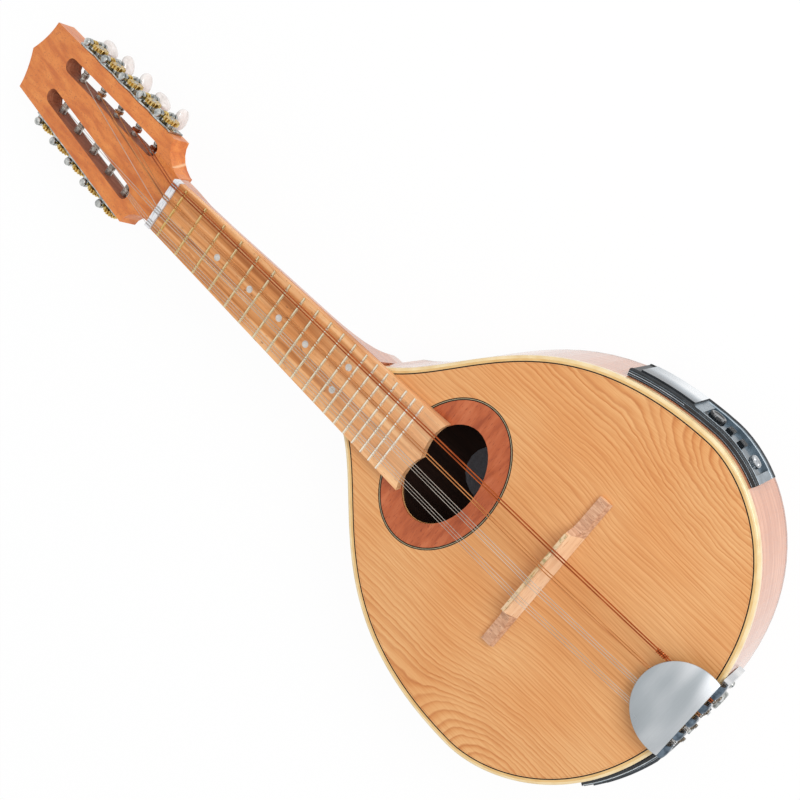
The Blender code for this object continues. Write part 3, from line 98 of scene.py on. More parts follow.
# %% Add a node
def add_node(tree, kind, inputs=None, stops=None, to=None, **settings):
    """Adds a node, sets its properties and colour stops, and sets or links its sockets."""
    node = tree.nodes.new("ShaderNode" + kind)
    for name, value in settings.items():
        setattr(node, name, value)
    if stops:
        elements = node.color_ramp.elements
        while len(elements) < len(stops):
            elements.new(0.5)
        for element, (place, code) in zip(elements, stops):
            element.position = place
            element.color = linear(code)
    for name, value in (inputs or {}).items():
        if isinstance(value, bpy.types.Node):
            value = next(out for out in value.outputs if out.enabled)
        if isinstance(value, bpy.types.NodeSocket):
            tree.links.new(value, node.inputs[name])
        else:
            node.inputs[name].default_value = value
    if to is not None:
        tree.links.new(next(out for out in node.outputs if out.enabled), to)
    return node


# %% Start a material
def start_material(name, roughness, metallic=0.0, coat=0.0, coat_roughness=0.1, shine=0.5):
    """A material, its node tree, its shader, and a node that gives surface points in mm."""
    material = bpy.data.materials.new(name)
    material.use_nodes = True
    tree = material.node_tree
    shader = tree.nodes["Principled BSDF"]
    for socket, value in (("Roughness", roughness), ("Metallic", metallic),
                          ("Coat Weight", coat), ("Coat Roughness", coat_roughness),
                          ("Specular IOR Level", shine)):
        shader.inputs[socket].default_value = value
    place = add_node(tree, "TexCoord")
    point = add_node(tree, "VectorMath", {0: place.outputs["Object"], 1: [1.0 / MM] * 3},
                     operation="MULTIPLY")
    print("material:", name)
    return material, tree, shader, point


# %% Dress the solids
def dress(names, materials, choose=lambda place, normal: 0):
    """Gives each face of these solids the material whose number choose returns for its place."""
    for name in names:
        mesh = nodes[name].data
        mesh.materials.clear()
        for material in materials:
            mesh.materials.append(material)
        for face in mesh.polygons:
            face.material_index = choose(face.center / MM, face.normal)
        print(name, "wears", [material.name for material in materials])


# %% [markdown]
# ## The soundboard
#
# The soundboard is pine or cedar under a satin lacquer. A board is a slice through a tree, so its
# figure is the tree's rings cut by a plane. Far from the heart the rings show as straight lines,
# here 2 to 3 mm apart, and close to it they open and bend away. The two halves are cut from one
# plank and laid as a mirror pair with the heart at the rim, so on both sides the rings curve out
# to the rim there and show as the halves of wide arches. The rings are drawn from the distance to
# a heart line that dips away under the board between the tail and the waist, which gives both the
# straight lines and the arches at once. Noise bends them, and a second, one-dimensional noise
# along that distance makes some years wider than others.

# %% Rings of the tree
HEART_X = 133.0
DIP_Y = (-70.0, 25.0)
DIP_DEPTH = (6.0, 34.0)
SLOW_BEND_SIZE = (46.0, 105.0, 60.0)
FINE_BEND_SIZE = (13.0, 19.0, 20.0)
SLOW_BEND = 15.0
DEPTH_BEND = 8.0
RING_STEP = 4.4
RING_POWER = 0.55
UNEVEN_YEARS = 1.3
pine, tree, shader, point = start_material("satin_lacquered_pine", 0.45, coat=0.15,
                                           coat_roughness=0.25, shine=0.3)
parts = add_node(tree, "SeparateXYZ", {0: point})
x = add_node(tree, "Math", {0: parts}, operation="ABSOLUTE")
slow = add_node(tree, "Mapping", {0: point, "Scale": [1.0 / size for size in SLOW_BEND_SIZE]})
slow = add_node(tree, "TexNoise", {"Vector": slow, "Scale": 1.0, "Detail": 1.0})
fine = add_node(tree, "Mapping", {0: point, "Scale": [1.0 / size for size in FINE_BEND_SIZE]})
fine = add_node(tree, "TexNoise", {"Vector": fine, "Scale": 1.0, "Detail": 3.0})
bend = add_node(tree, "Math", {0: slow, 1: SLOW_BEND, 2: -SLOW_BEND / 2.0},
                operation="MULTIPLY_ADD")
# The fine bends grow with the square of the distance from the middle.
wander = add_node(tree, "Math", {0: x, 1: x}, operation="MULTIPLY")
wander = add_node(tree, "Math", {0: wander, 1: 1 / 1900.0, 2: 0.5}, operation="MULTIPLY_ADD")
bend = add_node(tree, "Math", {0: fine, 1: wander, 2: bend}, operation="MULTIPLY_ADD")
across = add_node(tree, "Math", {0: x, 1: HEART_X}, operation="SUBTRACT")
across = add_node(tree, "Math", {0: across, 1: bend}, operation="ADD")
deep = add_node(tree, "MapRange", {0: parts.outputs[1], 1: DIP_Y[0], 2: DIP_Y[1],
                                   3: DIP_DEPTH[0], 4: DIP_DEPTH[1]},
                interpolation_type="SMOOTHSTEP")
deep = add_node(tree, "Math", {0: slow, 1: DEPTH_BEND, 2: deep}, operation="MULTIPLY_ADD")
square = add_node(tree, "Math", {0: across, 1: across}, operation="MULTIPLY")
square = add_node(tree, "Math", {0: deep, 1: deep, 2: square}, operation="MULTIPLY_ADD")
grown = add_node(tree, "Math", {0: square, 1: RING_POWER}, operation="POWER")
grown = add_node(tree, "Math", {0: grown, 1: 1.0 / RING_STEP}, operation="MULTIPLY")
uneven = add_node(tree, "TexNoise", {"W": grown, "Scale": 0.5, "Detail": 1.0},
                  noise_dimensions="1D")
grown = add_node(tree, "Math", {0: uneven, 1: UNEVEN_YEARS, 2: grown}, operation="MULTIPLY_ADD")
season = add_node(tree, "Math", {0: grown}, operation="FRACT")
year = add_node(tree, "Math", {0: grown}, operation="FLOOR")
print("heart line, mm from the middle:", HEART_X, "and below the board:", DIP_DEPTH)

# %% [markdown]
# Within each year the pale spring growth darkens slowly into a thin brown line of summer growth,
# then starts again sharply. The line is faint in the middle of the board and strong near the
# edges, and some years are darker than others. Fine fibres and a slow change of tone lie over it.
# Real fibres are far below a tenth of a millimetre wide; they are drawn 0.9 mm wide so that they
# show at all. The lacquer is a thin satin coat, so the wood stays soft under the light.

# %% Colours of the pine
ring_colour = add_node(tree, "ValToRGB", {0: season},
                       stops=[(0.0, "#e4b077"), (0.40, "#dfa66c"), (0.70, "#cf8b4e"),
                              (0.86, "#bb7138"), (1.0, "#dba268")])
strength = add_node(tree, "TexWhiteNoise", {"W": year}, noise_dimensions="1D")
outward = add_node(tree, "Math", {0: x, 1: 1 / 400.0, 2: 0.13}, operation="MULTIPLY_ADD")
strength = add_node(tree, "Math", {0: strength, 1: 0.40, 2: outward}, operation="MULTIPLY_ADD")
colour = add_node(tree, "Mix", {0: strength, 6: linear("#e3ae76"), 7: ring_colour},
                  data_type="RGBA")
patches = add_node(tree, "TexNoise", {"Vector": point, "Scale": 0.017, "Detail": 1.0})
patches = add_node(tree, "ValToRGB", {0: patches}, stops=[(0.3, "#f7e4cf"), (0.7, "#ffffff")])
colour = add_node(tree, "Mix", {0: 0.8, 6: colour, 7: patches}, data_type="RGBA",
                  blend_type="MULTIPLY")
fibres = add_node(tree, "Mapping", {0: point, "Scale": (1 / 0.9, 1 / 30.0, 1.0)})
fibres = add_node(tree, "TexNoise", {"Vector": fibres, "Scale": 1.0, "Detail": 3.0})
fibres = add_node(tree, "ValToRGB", {0: fibres}, stops=[(0.32, "#e8d3bd"), (0.62, "#ffffff")])
add_node(tree, "Mix", {0: 0.55, 6: colour, 7: fibres}, data_type="RGBA", blend_type="MULTIPLY",
         to=shader.inputs["Base Color"])
add_node(tree, "Bump", {"Strength": 0.06, "Distance": 0.0003, "Height": season},
         to=shader.inputs["Normal"])
dress(["soundboard"], [pine])

# %% [markdown]
# ## The other woods
#
# The other woods show no rings from this far, but streaks and pores along the grain. One function
# makes a wood from four real measures: how wide and long its streaks are, how long its pores are,
# and which way the grain runs. Each piece then sets its own colours and its own lacquer. Pores are
# about 0.2 mm wide; they are drawn 0.5 to 0.8 mm wide, because a finer one falls between pixels.


# %% Streaked wood
def streaked_wood(name, shades, streak, pore, pore_shade, roughness, coat=0.0,
                  coat_roughness=0.1, pore_share=0.62):
    """A lacquered wood. shades run from dark to light, and sizes are (x, y, z) in mm."""
    material, tree, shader, point = start_material(name, roughness, 0.0, coat, coat_roughness,
                                                   0.25)
    figure = add_node(tree, "Mapping", {0: point, "Scale": [1.0 / size for size in streak]})
    figure = add_node(tree, "TexNoise", {"Vector": figure, "Scale": 1.0, "Detail": 4.0,
                                         "Distortion": 0.3})
    figure_colour = add_node(tree, "ValToRGB", {0: figure},
                             stops=[(0.30, shades[0]), (0.50, shades[1]), (0.68, shades[2])])
    patches = add_node(tree, "TexNoise", {"Vector": point, "Scale": 0.03, "Detail": 1.0})
    patches = add_node(tree, "ValToRGB", {0: patches},
                       stops=[(0.3, "#ead9cb"), (0.7, "#ffffff")])
    colour = add_node(tree, "Mix", {0: 0.6, 6: figure_colour, 7: patches}, data_type="RGBA",
                      blend_type="MULTIPLY")
    pores = add_node(tree, "Mapping", {0: point, "Scale": [1.0 / size for size in pore]})
    pores = add_node(tree, "TexNoise", {"Vector": pores, "Scale": 1.0, "Detail": 1.0})
    open_pores = add_node(tree, "MapRange", {0: pores, 1: pore_share, 2: pore_share + 0.1})
    colour = add_node(tree, "Mix", {0: open_pores, 6: colour, 7: linear(pore_shade)},
                      data_type="RGBA", to=shader.inputs["Base Color"])
    add_node(tree, "Bump", {"Strength": 0.1, "Distance": 0.0003, "Height": pores},
             to=shader.inputs["Normal"])
    return material, tree, shader, point, colour


# %% [markdown]
# The sides and the back are a reddish wood under a thick gloss lacquer, so that they mirror the
# pale studio and look pink and white where they turn away. The grain of a bent side runs round the
# body, so its streaks are long across X and Y and short in Z. The back's run along the body.

# %% Sides and back
side_wood, *_ = streaked_wood("gloss_lacquered_side_wood", ("#c27a52", "#d69067", "#e2a27c"),
                              (90.0, 90.0, 3.2), (14.0, 14.0, 0.7), "#a86444", 0.4, 0.9, 0.08)
dress(["rim"], [side_wood])
back_wood, *_ = streaked_wood("gloss_lacquered_back_wood", ("#9a5434", "#b06a42", "#bf7a50"),
                              (7.0, 160.0, 30.0), (0.8, 12.0, 1.0), "#7c432a", 0.3, 1.0, 0.05)
# The back's inner face is painted very dark: painted shade inside the closed body.
painted_shade_inside, *_ = streaked_wood("bare_wood_painted_dark_as_shade", ("#281914", "#33211a", "#3d2820"),
                                (7.0, 120.0, 30.0), (0.8, 12.0, 1.0), "#1e1310", 0.75)
BACK_UPPER_FACE_Z = 3.0
dress(["back"], [back_wood, painted_shade_inside],
      lambda place, normal: int(normal.z > 0.5 and place.z > BACK_UPPER_FACE_Z - 0.1))
inner_wood, *_ = streaked_wood("bare_spruce_inside", ("#6a4c34", "#7d5b3f", "#8a684a"),
                               (3.0, 60.0, 3.0), (0.8, 9.0, 0.8), "#5c412c", 0.75)
dress(["neck_block", "tail_block", "top_linings_and_braces", "back_linings_and_braces"],
      [inner_wood])

# %% [markdown]
# The neck and the head are one orange-brown wood with short dark pores, under a thin satin coat.
# The head is glued up from two boards, and the glue joint shows as a fine dark line that runs
# aslant down its face. A pale joint crosses one shoulder. Both are drawn from a line's equation.
# The neck's sides have more lacquer than its face and are painted a shade darker as painted shade,
# and the walls of the head's slots are sawn and painted darker as shade in the slots.

# %% Neck and head
HEAD_FOOT_Y = 357.5
SEAM_SLOPE, SEAM_FOOT_X = 0.108, 1.8
WING_SLOPE, WING_FOOT, WING_X = 0.62, -2.6, 21.0
SLOT_Y = (380.0, 509.0)
SLOT_OUTER_X = 27.0
neck_wood, tree, shader, point, colour = streaked_wood(
    "satin_lacquered_neck_wood", ("#cb6e33", "#df843f", "#ea944b"), (4.5, 70.0, 4.5),
    (0.5, 3.0, 0.5), "#b8683a", 0.4, 0.3, 0.15, 0.60)
parts = add_node(tree, "SeparateXYZ", {0: point})
along = add_node(tree, "Math", {0: parts.outputs[1], 1: HEAD_FOOT_Y}, operation="SUBTRACT")
seam_x = add_node(tree, "Math", {0: along, 1: SEAM_SLOPE, 2: SEAM_FOOT_X},
                  operation="MULTIPLY_ADD")
off_seam = add_node(tree, "Math", {0: parts.outputs[0], 1: seam_x}, operation="SUBTRACT")
off_seam = add_node(tree, "Math", {0: off_seam}, operation="ABSOLUTE")
dark_seam = add_node(tree, "MapRange", {0: off_seam, 1: 0.2, 2: 0.9, 3: 0.75, 4: 0.0})
on_head = add_node(tree, "Math", {0: along, 1: 0.0}, operation="GREATER_THAN")
dark_seam = add_node(tree, "Math", {0: dark_seam, 1: on_head}, operation="MULTIPLY")
fades = add_node(tree, "MapRange", {0: along, 1: 60.0, 2: 105.0, 3: 1.0, 4: 0.1})
dark_seam = add_node(tree, "Math", {0: dark_seam, 1: fades}, operation="MULTIPLY")
colour = add_node(tree, "Mix", {0: dark_seam, 6: colour, 7: linear("#6b3b22")},
                  data_type="RGBA")
wing_y = add_node(tree, "Math", {0: parts.outputs[0], 1: WING_SLOPE, 2: WING_FOOT},
                  operation="MULTIPLY_ADD")
off_wing = add_node(tree, "Math", {0: along, 1: wing_y}, operation="SUBTRACT")
off_wing = add_node(tree, "Math", {0: off_wing}, operation="ABSOLUTE")
pale_seam = add_node(tree, "MapRange", {0: off_wing, 1: 0.2, 2: 0.8, 3: 0.7, 4: 0.0})
on_wing = add_node(tree, "Math", {0: parts.outputs[0], 1: WING_X}, operation="GREATER_THAN")
pale_seam = add_node(tree, "Math", {0: pale_seam, 1: on_wing}, operation="MULTIPLY")
add_node(tree, "Mix", {0: pale_seam, 6: colour, 7: linear("#f0c79a")}, data_type="RGBA",
         to=shader.inputs["Base Color"])
# The same wood in darker colours on the sides: the coat is real, the darker tone is painted shade.
darker_painted_neck_side, *_ = streaked_wood("gloss_lacquered_neck_side_painted_darker", ("#b5683c", "#c97c4c", "#d58e60"),
                              (4.5, 70.0, 4.5), (0.5, 3.0, 0.5), "#94563c", 0.4, 1.0, 0.06)
dress(["neck"], [neck_wood, darker_painted_neck_side], lambda place, normal: int(normal.z < 0.5))
# Sawn wood whose darker tone is painted shade in the slots.
sawn_wood_painted_shade, *_ = streaked_wood("sawn_slot_wall_wood_painted_shade", ("#8e5238", "#a5664a", "#b37659"),
                              (6.0, 30.0, 1.5), (0.6, 3.0, 0.6), "#7c4430", 0.6)
dress(["headstock"], [neck_wood, sawn_wood_painted_shade],
      lambda place, normal: int(SLOT_Y[0] < place.y < SLOT_Y[1] and abs(place.x) < SLOT_OUTER_X
                                and abs(normal.z) < 0.6))

# %% [markdown]
# The rosette round the soundhole is a mahogany veneer. Its grain runs across the body, which shows
# as short pores along X, with lighter and darker streaks a few millimetres wide.

# %% Rosette
rosette_wood, *_ = streaked_wood("satin_lacquered_mahogany", ("#9c4a28", "#b55d35", "#c16c44"),
                                 (26.0, 5.0, 5.0), (5.0, 0.7, 1.0), "#8e4024", 0.42, 0.2, 0.2)
dress(["rosette"], [rosette_wood])

# %% [markdown]
# ## Fretboard and frets
#
# The fretboard is a straight, streaky wood with a trace of oil, with darker lines 2 to 6 mm wide
# along its whole length and a few dark flecks. Towards the soundhole it is painted paler, as
# painted light. The frets are nickel-silver wire, which has a yellow cast near the nut, where it
# is touched least; towards the soundhole they are painted near white as a painted highlight. They
# are one solid with the board, so the faces above the board's sloping top get the metal.

# %% Fretboard
board_wood, tree, shader, point, colour = streaked_wood(
    "oiled_fretboard_wood", ("#b06c36", "#dc9a5f", "#f0bd88"), (3.2, 150.0, 8.0),
    (0.6, 6.0, 0.8), "#ad7040", 0.48, 0.15, 0.3, 0.66)
for size, shares, most, shade in (((1.7, 220.0, 1.0), (0.60, 0.70), 0.45, "#a05f34"),
                                  ((3.0, 5.0, 1.0), (0.70, 0.76), 0.6, "#7d4d2e")):
    marks = add_node(tree, "Mapping", {0: point, "Scale": [1.0 / side for side in size]})
    marks = add_node(tree, "TexNoise", {"Vector": marks, "Scale": 1.0, "Detail": 2.0})
    marks = add_node(tree, "MapRange", {0: marks, 1: shares[0], 2: shares[1], 3: 0.0, 4: most})
    colour = add_node(tree, "Mix", {0: marks, 6: colour, 7: linear(shade)}, data_type="RGBA")
parts = add_node(tree, "SeparateXYZ", {0: point})
# Painted light: the board is mixed towards a pale colour near the soundhole.
painted_light_near_hole = add_node(tree, "MapRange", {0: parts.outputs[1], 1: 110.0, 2: 215.0, 3: 0.26, 4: 0.0})
add_node(tree, "Mix", {0: painted_light_near_hole, 6: colour, 7: linear("#ffd9ae")}, data_type="RGBA",
         to=shader.inputs["Base Color"])

# %% Frets
fret_metal, tree, shader, point = start_material("nickel_silver_fret_wire", 0.3, 1.0)
parts = add_node(tree, "SeparateXYZ", {0: point})
up_the_neck = add_node(tree, "MapRange", {0: parts.outputs[1], 1: 120.0, 2: 345.0})
# The near-white stop towards the soundhole is a painted highlight; the yellow near the nut is the
# wire's cast.
add_node(tree, "ValToRGB", {0: up_the_neck}, to=shader.inputs["Base Color"],
         stops=[(0.0, "#efebde"), (0.5, "#ded5b8"), (1.0, "#d8b878")])
wear = add_node(tree, "TexNoise", {"Vector": point, "Scale": 0.25, "Detail": 3.0})
add_node(tree, "MapRange", {0: wear, 1: 0.3, 2: 0.7, 3: 0.18, 4: 0.42},
         to=shader.inputs["Roughness"])
BODY_TOP_Z = 70.0
NECK_SLOPE = math.tan(math.radians(2.0))
BOARD_HEIGHT = 5.1
NECK_JOINT_Y = 164.0


def board_top(y):
    """The height of the fretboard's top at a distance along it."""
    return BODY_TOP_Z - (y - NECK_JOINT_Y) * NECK_SLOPE + BOARD_HEIGHT


dress(["fretboard"], [board_wood, fret_metal],
      lambda place, normal: int(place.z > board_top(place.y) + 0.05))

# %% [markdown]
# ## Bridge and saddle
#
# The bridge is a long strip of pale hardwood, rubbed with oil. The tops of its two low wings are
# rough and darker, because there the wood shows its end grain. A strip of paler wood forms
# the saddle along its front edge, stained greenish where the strings have rubbed.

# %% Bridge
bridge_wood, *_ = streaked_wood("oiled_bridge_wood", ("#e8bb92", "#f3cca5", "#f7d6b4"),
                                (60.0, 4.0, 4.0), (6.0, 0.7, 0.7), "#d8a47a", 0.5, 0.1, 0.3)
end_grain, *_ = streaked_wood("rough_end_grain", ("#b58669", "#cfa283", "#e0b898"),
                              (1.6, 9.0, 2.0), (0.6, 2.5, 0.8), "#a07660", 0.7)
RAISED_HALF = 33.0
dress(["bridge"], [bridge_wood, end_grain],
      lambda place, normal: int(normal.z > 0.3 and abs(place.x) > RAISED_HALF))
saddle_wood, tree, shader, point, colour = streaked_wood(
    "pale_saddle_wood", ("#c9a97c", "#dcc09a", "#e6cfae"), (22.0, 3.0, 3.0), (3.0, 0.7, 0.7),
    "#a8874f", 0.5)
stains = add_node(tree, "TexNoise", {"Vector": point, "Scale": 0.33, "Detail": 2.0})
stains = add_node(tree, "MapRange", {0: stains, 1: 0.56, 2: 0.70, 3: 0.0, 4: 0.8})
add_node(tree, "Mix", {0: stains, 6: colour, 7: linear("#8e8456")}, data_type="RGBA",
         to=shader.inputs["Base Color"])
dress(["saddle"], [saddle_wood])

# %% [markdown]
# ## Nut and label
#
# Bone, paper, plastic and metal have no grain, but their tone still drifts in soft blotches. One
# function makes such a material. The nut is bleached bone: cool white, polished, with faint grey
# pores drawn out along the nut. The label inside is grey paper and is left bare. Paper is matt,
# with fibres a fraction of a millimetre wide; they are drawn about 1 mm wide so that they show.


# %% Mottled finish
def mottled(name, roughness, scale, detail, stops, distortion=0.0, **finish):
    """A material whose colour drifts in blotches. scale is how many of them lie in a mm."""
    material, tree, shader, point = start_material(name, roughness, **finish)
    blotch = add_node(tree, "TexNoise", {"Vector": point, "Scale": scale, "Detail": detail,
                                         "Distortion": distortion})
    colour = add_node(tree, "ValToRGB", {0: blotch}, stops=stops, to=shader.inputs["Base Color"])
    return material, tree, shader, point, colour


# %% Nut and label
bone, tree, shader, point = start_material("polished_bone", 0.35, coat=0.3)
marks = add_node(tree, "Mapping", {0: point, "Scale": (1 / 5.0, 1.0, 1.0)})
marks = add_node(tree, "TexNoise", {"Vector": marks, "Scale": 1.0, "Detail": 3.0})
add_node(tree, "ValToRGB", {0: marks}, to=shader.inputs["Base Color"],
         stops=[(0.30, "#b9bbc0"), (0.48, "#dcdcdf"), (0.7, "#e6e5e6")])
dress(["nut"], [bone])
paper, tree, shader, point, fibres = mottled("bare_grey_paper", 0.9, 1.0, 4.0,
                                             [(0.3, "#7b7c84"), (0.7, "#93949c")])
add_node(tree, "Bump", {"Strength": 0.2, "Distance": 0.0002, "Height": fibres},
         to=shader.inputs["Normal"])
dress(["label"], [paper])

# %% [markdown]
# ## Building pieces
#
# Every new piece is built in millimetres in a frame of its own, then set in place by a matrix, so
# a small turned piece can be drawn upright and laid where its joint says. The shapes come from
# three tools: a profile spun round Z, a skin over rings of points, and a wire carried along a
# path. One function joins the shapes of a piece, gives each its material, hangs the piece on the
# body it rides on, and hides the solids it replaces.


# %% Points on a circle
def on_circle(radius, turn, z=0.0):
    """The point at a radius and an angle about Z."""
    return (radius * math.cos(turn), radius * math.sin(turn), z)


# %% Spin a profile
def turned(profile, segments=32):
    """A solid of revolution about Z from (radius, height) points. On the axis it has one point."""
    shape = bmesh.new()
    rings = [[shape.verts.new(on_circle(radius, math.tau * k / segments, height))
              for k in range(segments if radius else 1)] for radius, height in profile]
    for near, far in zip(rings, rings[1:]):
        for k in range(segments):
            corners = [near[k % len(near)], near[(k + 1) % len(near)],
                       far[(k + 1) % len(far)], far[k % len(far)]]
            shape.faces.new(dict.fromkeys(corners))
    bmesh.ops.recalc_face_normals(shape, faces=shape.faces)
    return shape


# %% Skin over sections
def skin(sections, closed=False):
    """A surface over rings of points. A closed one joins its last ring to its first."""
    shape = bmesh.new()
    rings = [[shape.verts.new(point) for point in section] for section in sections]
    pairs = list(zip(rings, rings[1:])) + ([(rings[-1], rings[0])] if closed else [])
    for near, far in pairs:
        for i in range(len(near)):
            j = (i + 1) % len(near)
            shape.faces.new((near[i], near[j], far[j], far[i]))
    if not closed:
        shape.faces.new(rings[0])
        shape.faces.new(rings[-1])
    bmesh.ops.recalc_face_normals(shape, faces=shape.faces)
    return shape


# %% Carry a circle along a path
def wire(points, radius, sides=10):
    """A round wire through points, with its sections square to the path."""
    points = [Vector(point) for point in points]
    side = None
    sections = []
    for i, point in enumerate(points):
        ahead = points[min(i + 1, len(points) - 1)] - points[max(i - 1, 0)]
        ahead.normalize()
        if side is None:
            side = ahead.orthogonal()
        side = (side - ahead * side.dot(ahead)).normalized()
        up = ahead.cross(side)
        turns = [math.tau * k / sides for k in range(sides)]
        sections.append([point + (side * math.cos(t) + up * math.sin(t)) * radius
                         for t in turns])
    return skin(sections)


# %% Put a piece in place
def moved(shape, place):
    """The shape set in place by a matrix. A matrix that mirrors it would turn its faces in."""
    bmesh.ops.transform(shape, matrix=place, verts=shape.verts)
    if place.determinant() < 0.0:
        bmesh.ops.reverse_faces(shape, faces=shape.faces)
    return shape


def add_piece(name, shapes, replaced=(), place=Matrix.Identity(4), body=BODY, sharp=35.0):
    """One object from (shape, material) pairs in mm, placed by a matrix in mm."""
    whole = bmesh.new()
    mesh = bpy.data.meshes.new(name)
    for shape, material in shapes:
        if material.name not in mesh.materials:
            mesh.materials.append(material)
        number = mesh.materials.find(material.name)
        for face in shape.faces:
            face.material_index = number
        part = bpy.data.meshes.new("part")
        shape.to_mesh(part)
        whole.from_mesh(part)
        bpy.data.meshes.remove(part)
        shape.free()
    moved(whole, place)
    bmesh.ops.scale(whole, vec=(MM, MM, MM), verts=whole.verts)
    whole.to_mesh(mesh)
    whole.free()
    mesh.shade_smooth()
    mesh.set_sharp_from_angle(angle=math.radians(sharp))
    piece = bpy.data.objects.new(name, mesh)
    bpy.context.scene.collection.objects.link(piece)
    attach(piece, body)
    if replaced:
        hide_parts(*replaced)
    print(name, "rides on", body, "with", len(mesh.polygons), "faces")


def frame_of(origin, x_axis, y_axis, z_axis):
    """The matrix of a frame with this origin and these axes."""
    matrix = Matrix((x_axis, y_axis, z_axis)).transposed().to_4x4()
    matrix.translation = origin
    return matrix


# %% [markdown]
# ## The outline and the binding
#
# The body's half outline is two Bezier arcs, from the tail to the widest point and on to the neck.
# The binding is a strip of cream plastic let into the top edge. Its solid is square, while the
# real one is scraped round on its outer edge, which catches the light as a paler line. So it is
# made again with a rounded section, carried round the outline in fine steps.

# %% Outline of the body
BODY_HALF_WIDTH = 132.3
WIDEST_Y = -24.1
TAIL_Y = -125.7
JOINT_HALF_WIDTH = 22.4
TAIL_REACH = 92.0
BELOW_WIDEST = 39.6
ABOVE_WIDEST = 123.7
JOINT_REACH = 53.9
JOINT_ANGLE = math.radians(120.6)
WIDEST = (BODY_HALF_WIDTH, WIDEST_Y)
ARCS = (((0.0, TAIL_Y), (TAIL_REACH, TAIL_Y), (BODY_HALF_WIDTH, WIDEST_Y - BELOW_WIDEST), WIDEST),
        (WIDEST, (BODY_HALF_WIDTH, WIDEST_Y + ABOVE_WIDEST),
         (JOINT_HALF_WIDTH - JOINT_REACH * math.cos(JOINT_ANGLE),
          NECK_JOINT_Y - JOINT_REACH * math.sin(JOINT_ANGLE)),
         (JOINT_HALF_WIDTH, NECK_JOINT_Y)))


def half_outline(steps):
    """Points of the right half of the outline, from the tail to the neck."""
    points = []
    for arc in ARCS:
        a, b, c, d = (Vector(point) for point in arc)
        for i in range(steps):
            t = i / steps
            s = 1.0 - t
            points.append(a * s**3 + b * 3 * s * s * t + c * 3 * s * t * t + d * t**3)
    return points + [Vector(ARCS[1][3])]


FINE = half_outline(200)


def rim_place(index, outward, side=1):
    """A point at a distance out from the outline, and the direction out of it, on one side."""
    ahead = (FINE[index + 1] - FINE[index - 1]).normalized() if index else Vector((1.0, 0.0))
    out = Vector((ahead.y, -ahead.x))
    place = FINE[index] + out * outward
    return Vector((place.x * side, place.y)), Vector((out.x * side, out.y))


print("outline points:", len(FINE), "half width, mm:", round(max(p.x for p in FINE), 1))

# %% Binding
celluloid, *_ = mottled("scraped_celluloid_binding", 0.3, 0.12, 3.0,
                        [(0.3, "#dcbe88"), (0.5, "#e4ca98"), (0.7, "#ead4a8")],
                        coat=0.5, coat_roughness=0.12)
yellowed, *_ = mottled("yellowed_lacquer_on_binding", 0.35, 0.15, 3.0,
                       [(0.3, "#d2a765"), (0.7, "#deb97c")], coat=0.4, coat_roughness=0.15)
BINDING_BOTTOM_Z = 64.5
BINDING_WIDTH = 3.4
YELLOWED_WIDTH = 1.5
EDGE_ROUND = 1.3
indices = list(range(0, len(FINE) - 1, 4)) + [len(FINE) - 2]
stations = [(i, 1) for i in indices] + [(i, -1) for i in reversed(indices[1:])]
middle = (BINDING_WIDTH - YELLOWED_WIDTH, BODY_TOP_Z)
inner_edge = (BINDING_WIDTH, BODY_TOP_Z)
corner = [(EDGE_ROUND * (1.0 - math.sin(turn)), BODY_TOP_Z - EDGE_ROUND * (1.0 - math.cos(turn)))
          for turn in (math.radians(15 * k) for k in range(7))]


def round_the_body(section):
    """An open strip carried round the whole outline. The section holds (inset, z) points."""
    shape = bmesh.new()
    rows = []
    for index, side in stations:
        row = []
        for inset, z in section:
            place, _ = rim_place(index, -inset, side)
            row.append(shape.verts.new((place.x, place.y, z)))
        rows.append(row)
    for near, far in zip(rows, rows[1:] + rows[:1]):
        for k in range(len(section) - 1):
            shape.faces.new((near[k], near[k + 1], far[k + 1], far[k]))
    bmesh.ops.recalc_face_normals(shape, faces=shape.faces)
    upward = sum(face.normal.z * face.calc_area() for face in shape.faces
                 if face.calc_center_median().z > BODY_TOP_Z - 0.5)
    if upward < 0.0:
        bmesh.ops.reverse_faces(shape, faces=shape.faces)
    return shape


outer = [middle, *corner, (0.0, BINDING_BOTTOM_Z), (BINDING_WIDTH, BINDING_BOTTOM_Z), inner_edge]
shapes = [(round_the_body([inner_edge, middle]), yellowed), (round_the_body(outer), celluloid)]
add_piece("rounded_binding", shapes, ["binding"])

# %% [markdown]
# A thin black line of dyed veneer runs just inside the binding. Its solid is a little wider than
# the real line, so a strip of the soundboard's wood covers the rest. The rosette is edged with
# three such lines: black, white and black, together less than 2 mm wide. They are too thin for the
# solids, so they are laid here as flat rings that stand 0.05 mm proud of the lacquer.

# %% Black veneer line
black_veneer, *_ = mottled("dyed_black_veneer", 0.5, 0.5, 2.0,
                           [(0.35, "#12100e"), (0.7, "#2a231d")], shine=0.2)
BLACK_WIDTH = 0.8
COVERED_WIDTH = 1.6
line_end = BINDING_WIDTH + BLACK_WIDTH
wood_end = BINDING_WIDTH + COVERED_WIDTH
line_z, wood_z = BODY_TOP_Z + 0.02, BODY_TOP_Z + 0.03
shapes = [(round_the_body([(line_end, line_z), (BINDING_WIDTH, line_z)]), black_veneer),
          (round_the_body([(wood_end, wood_z), (line_end, wood_z)]), pine)]
add_piece("thin_purfling", shapes, ["purfling"])

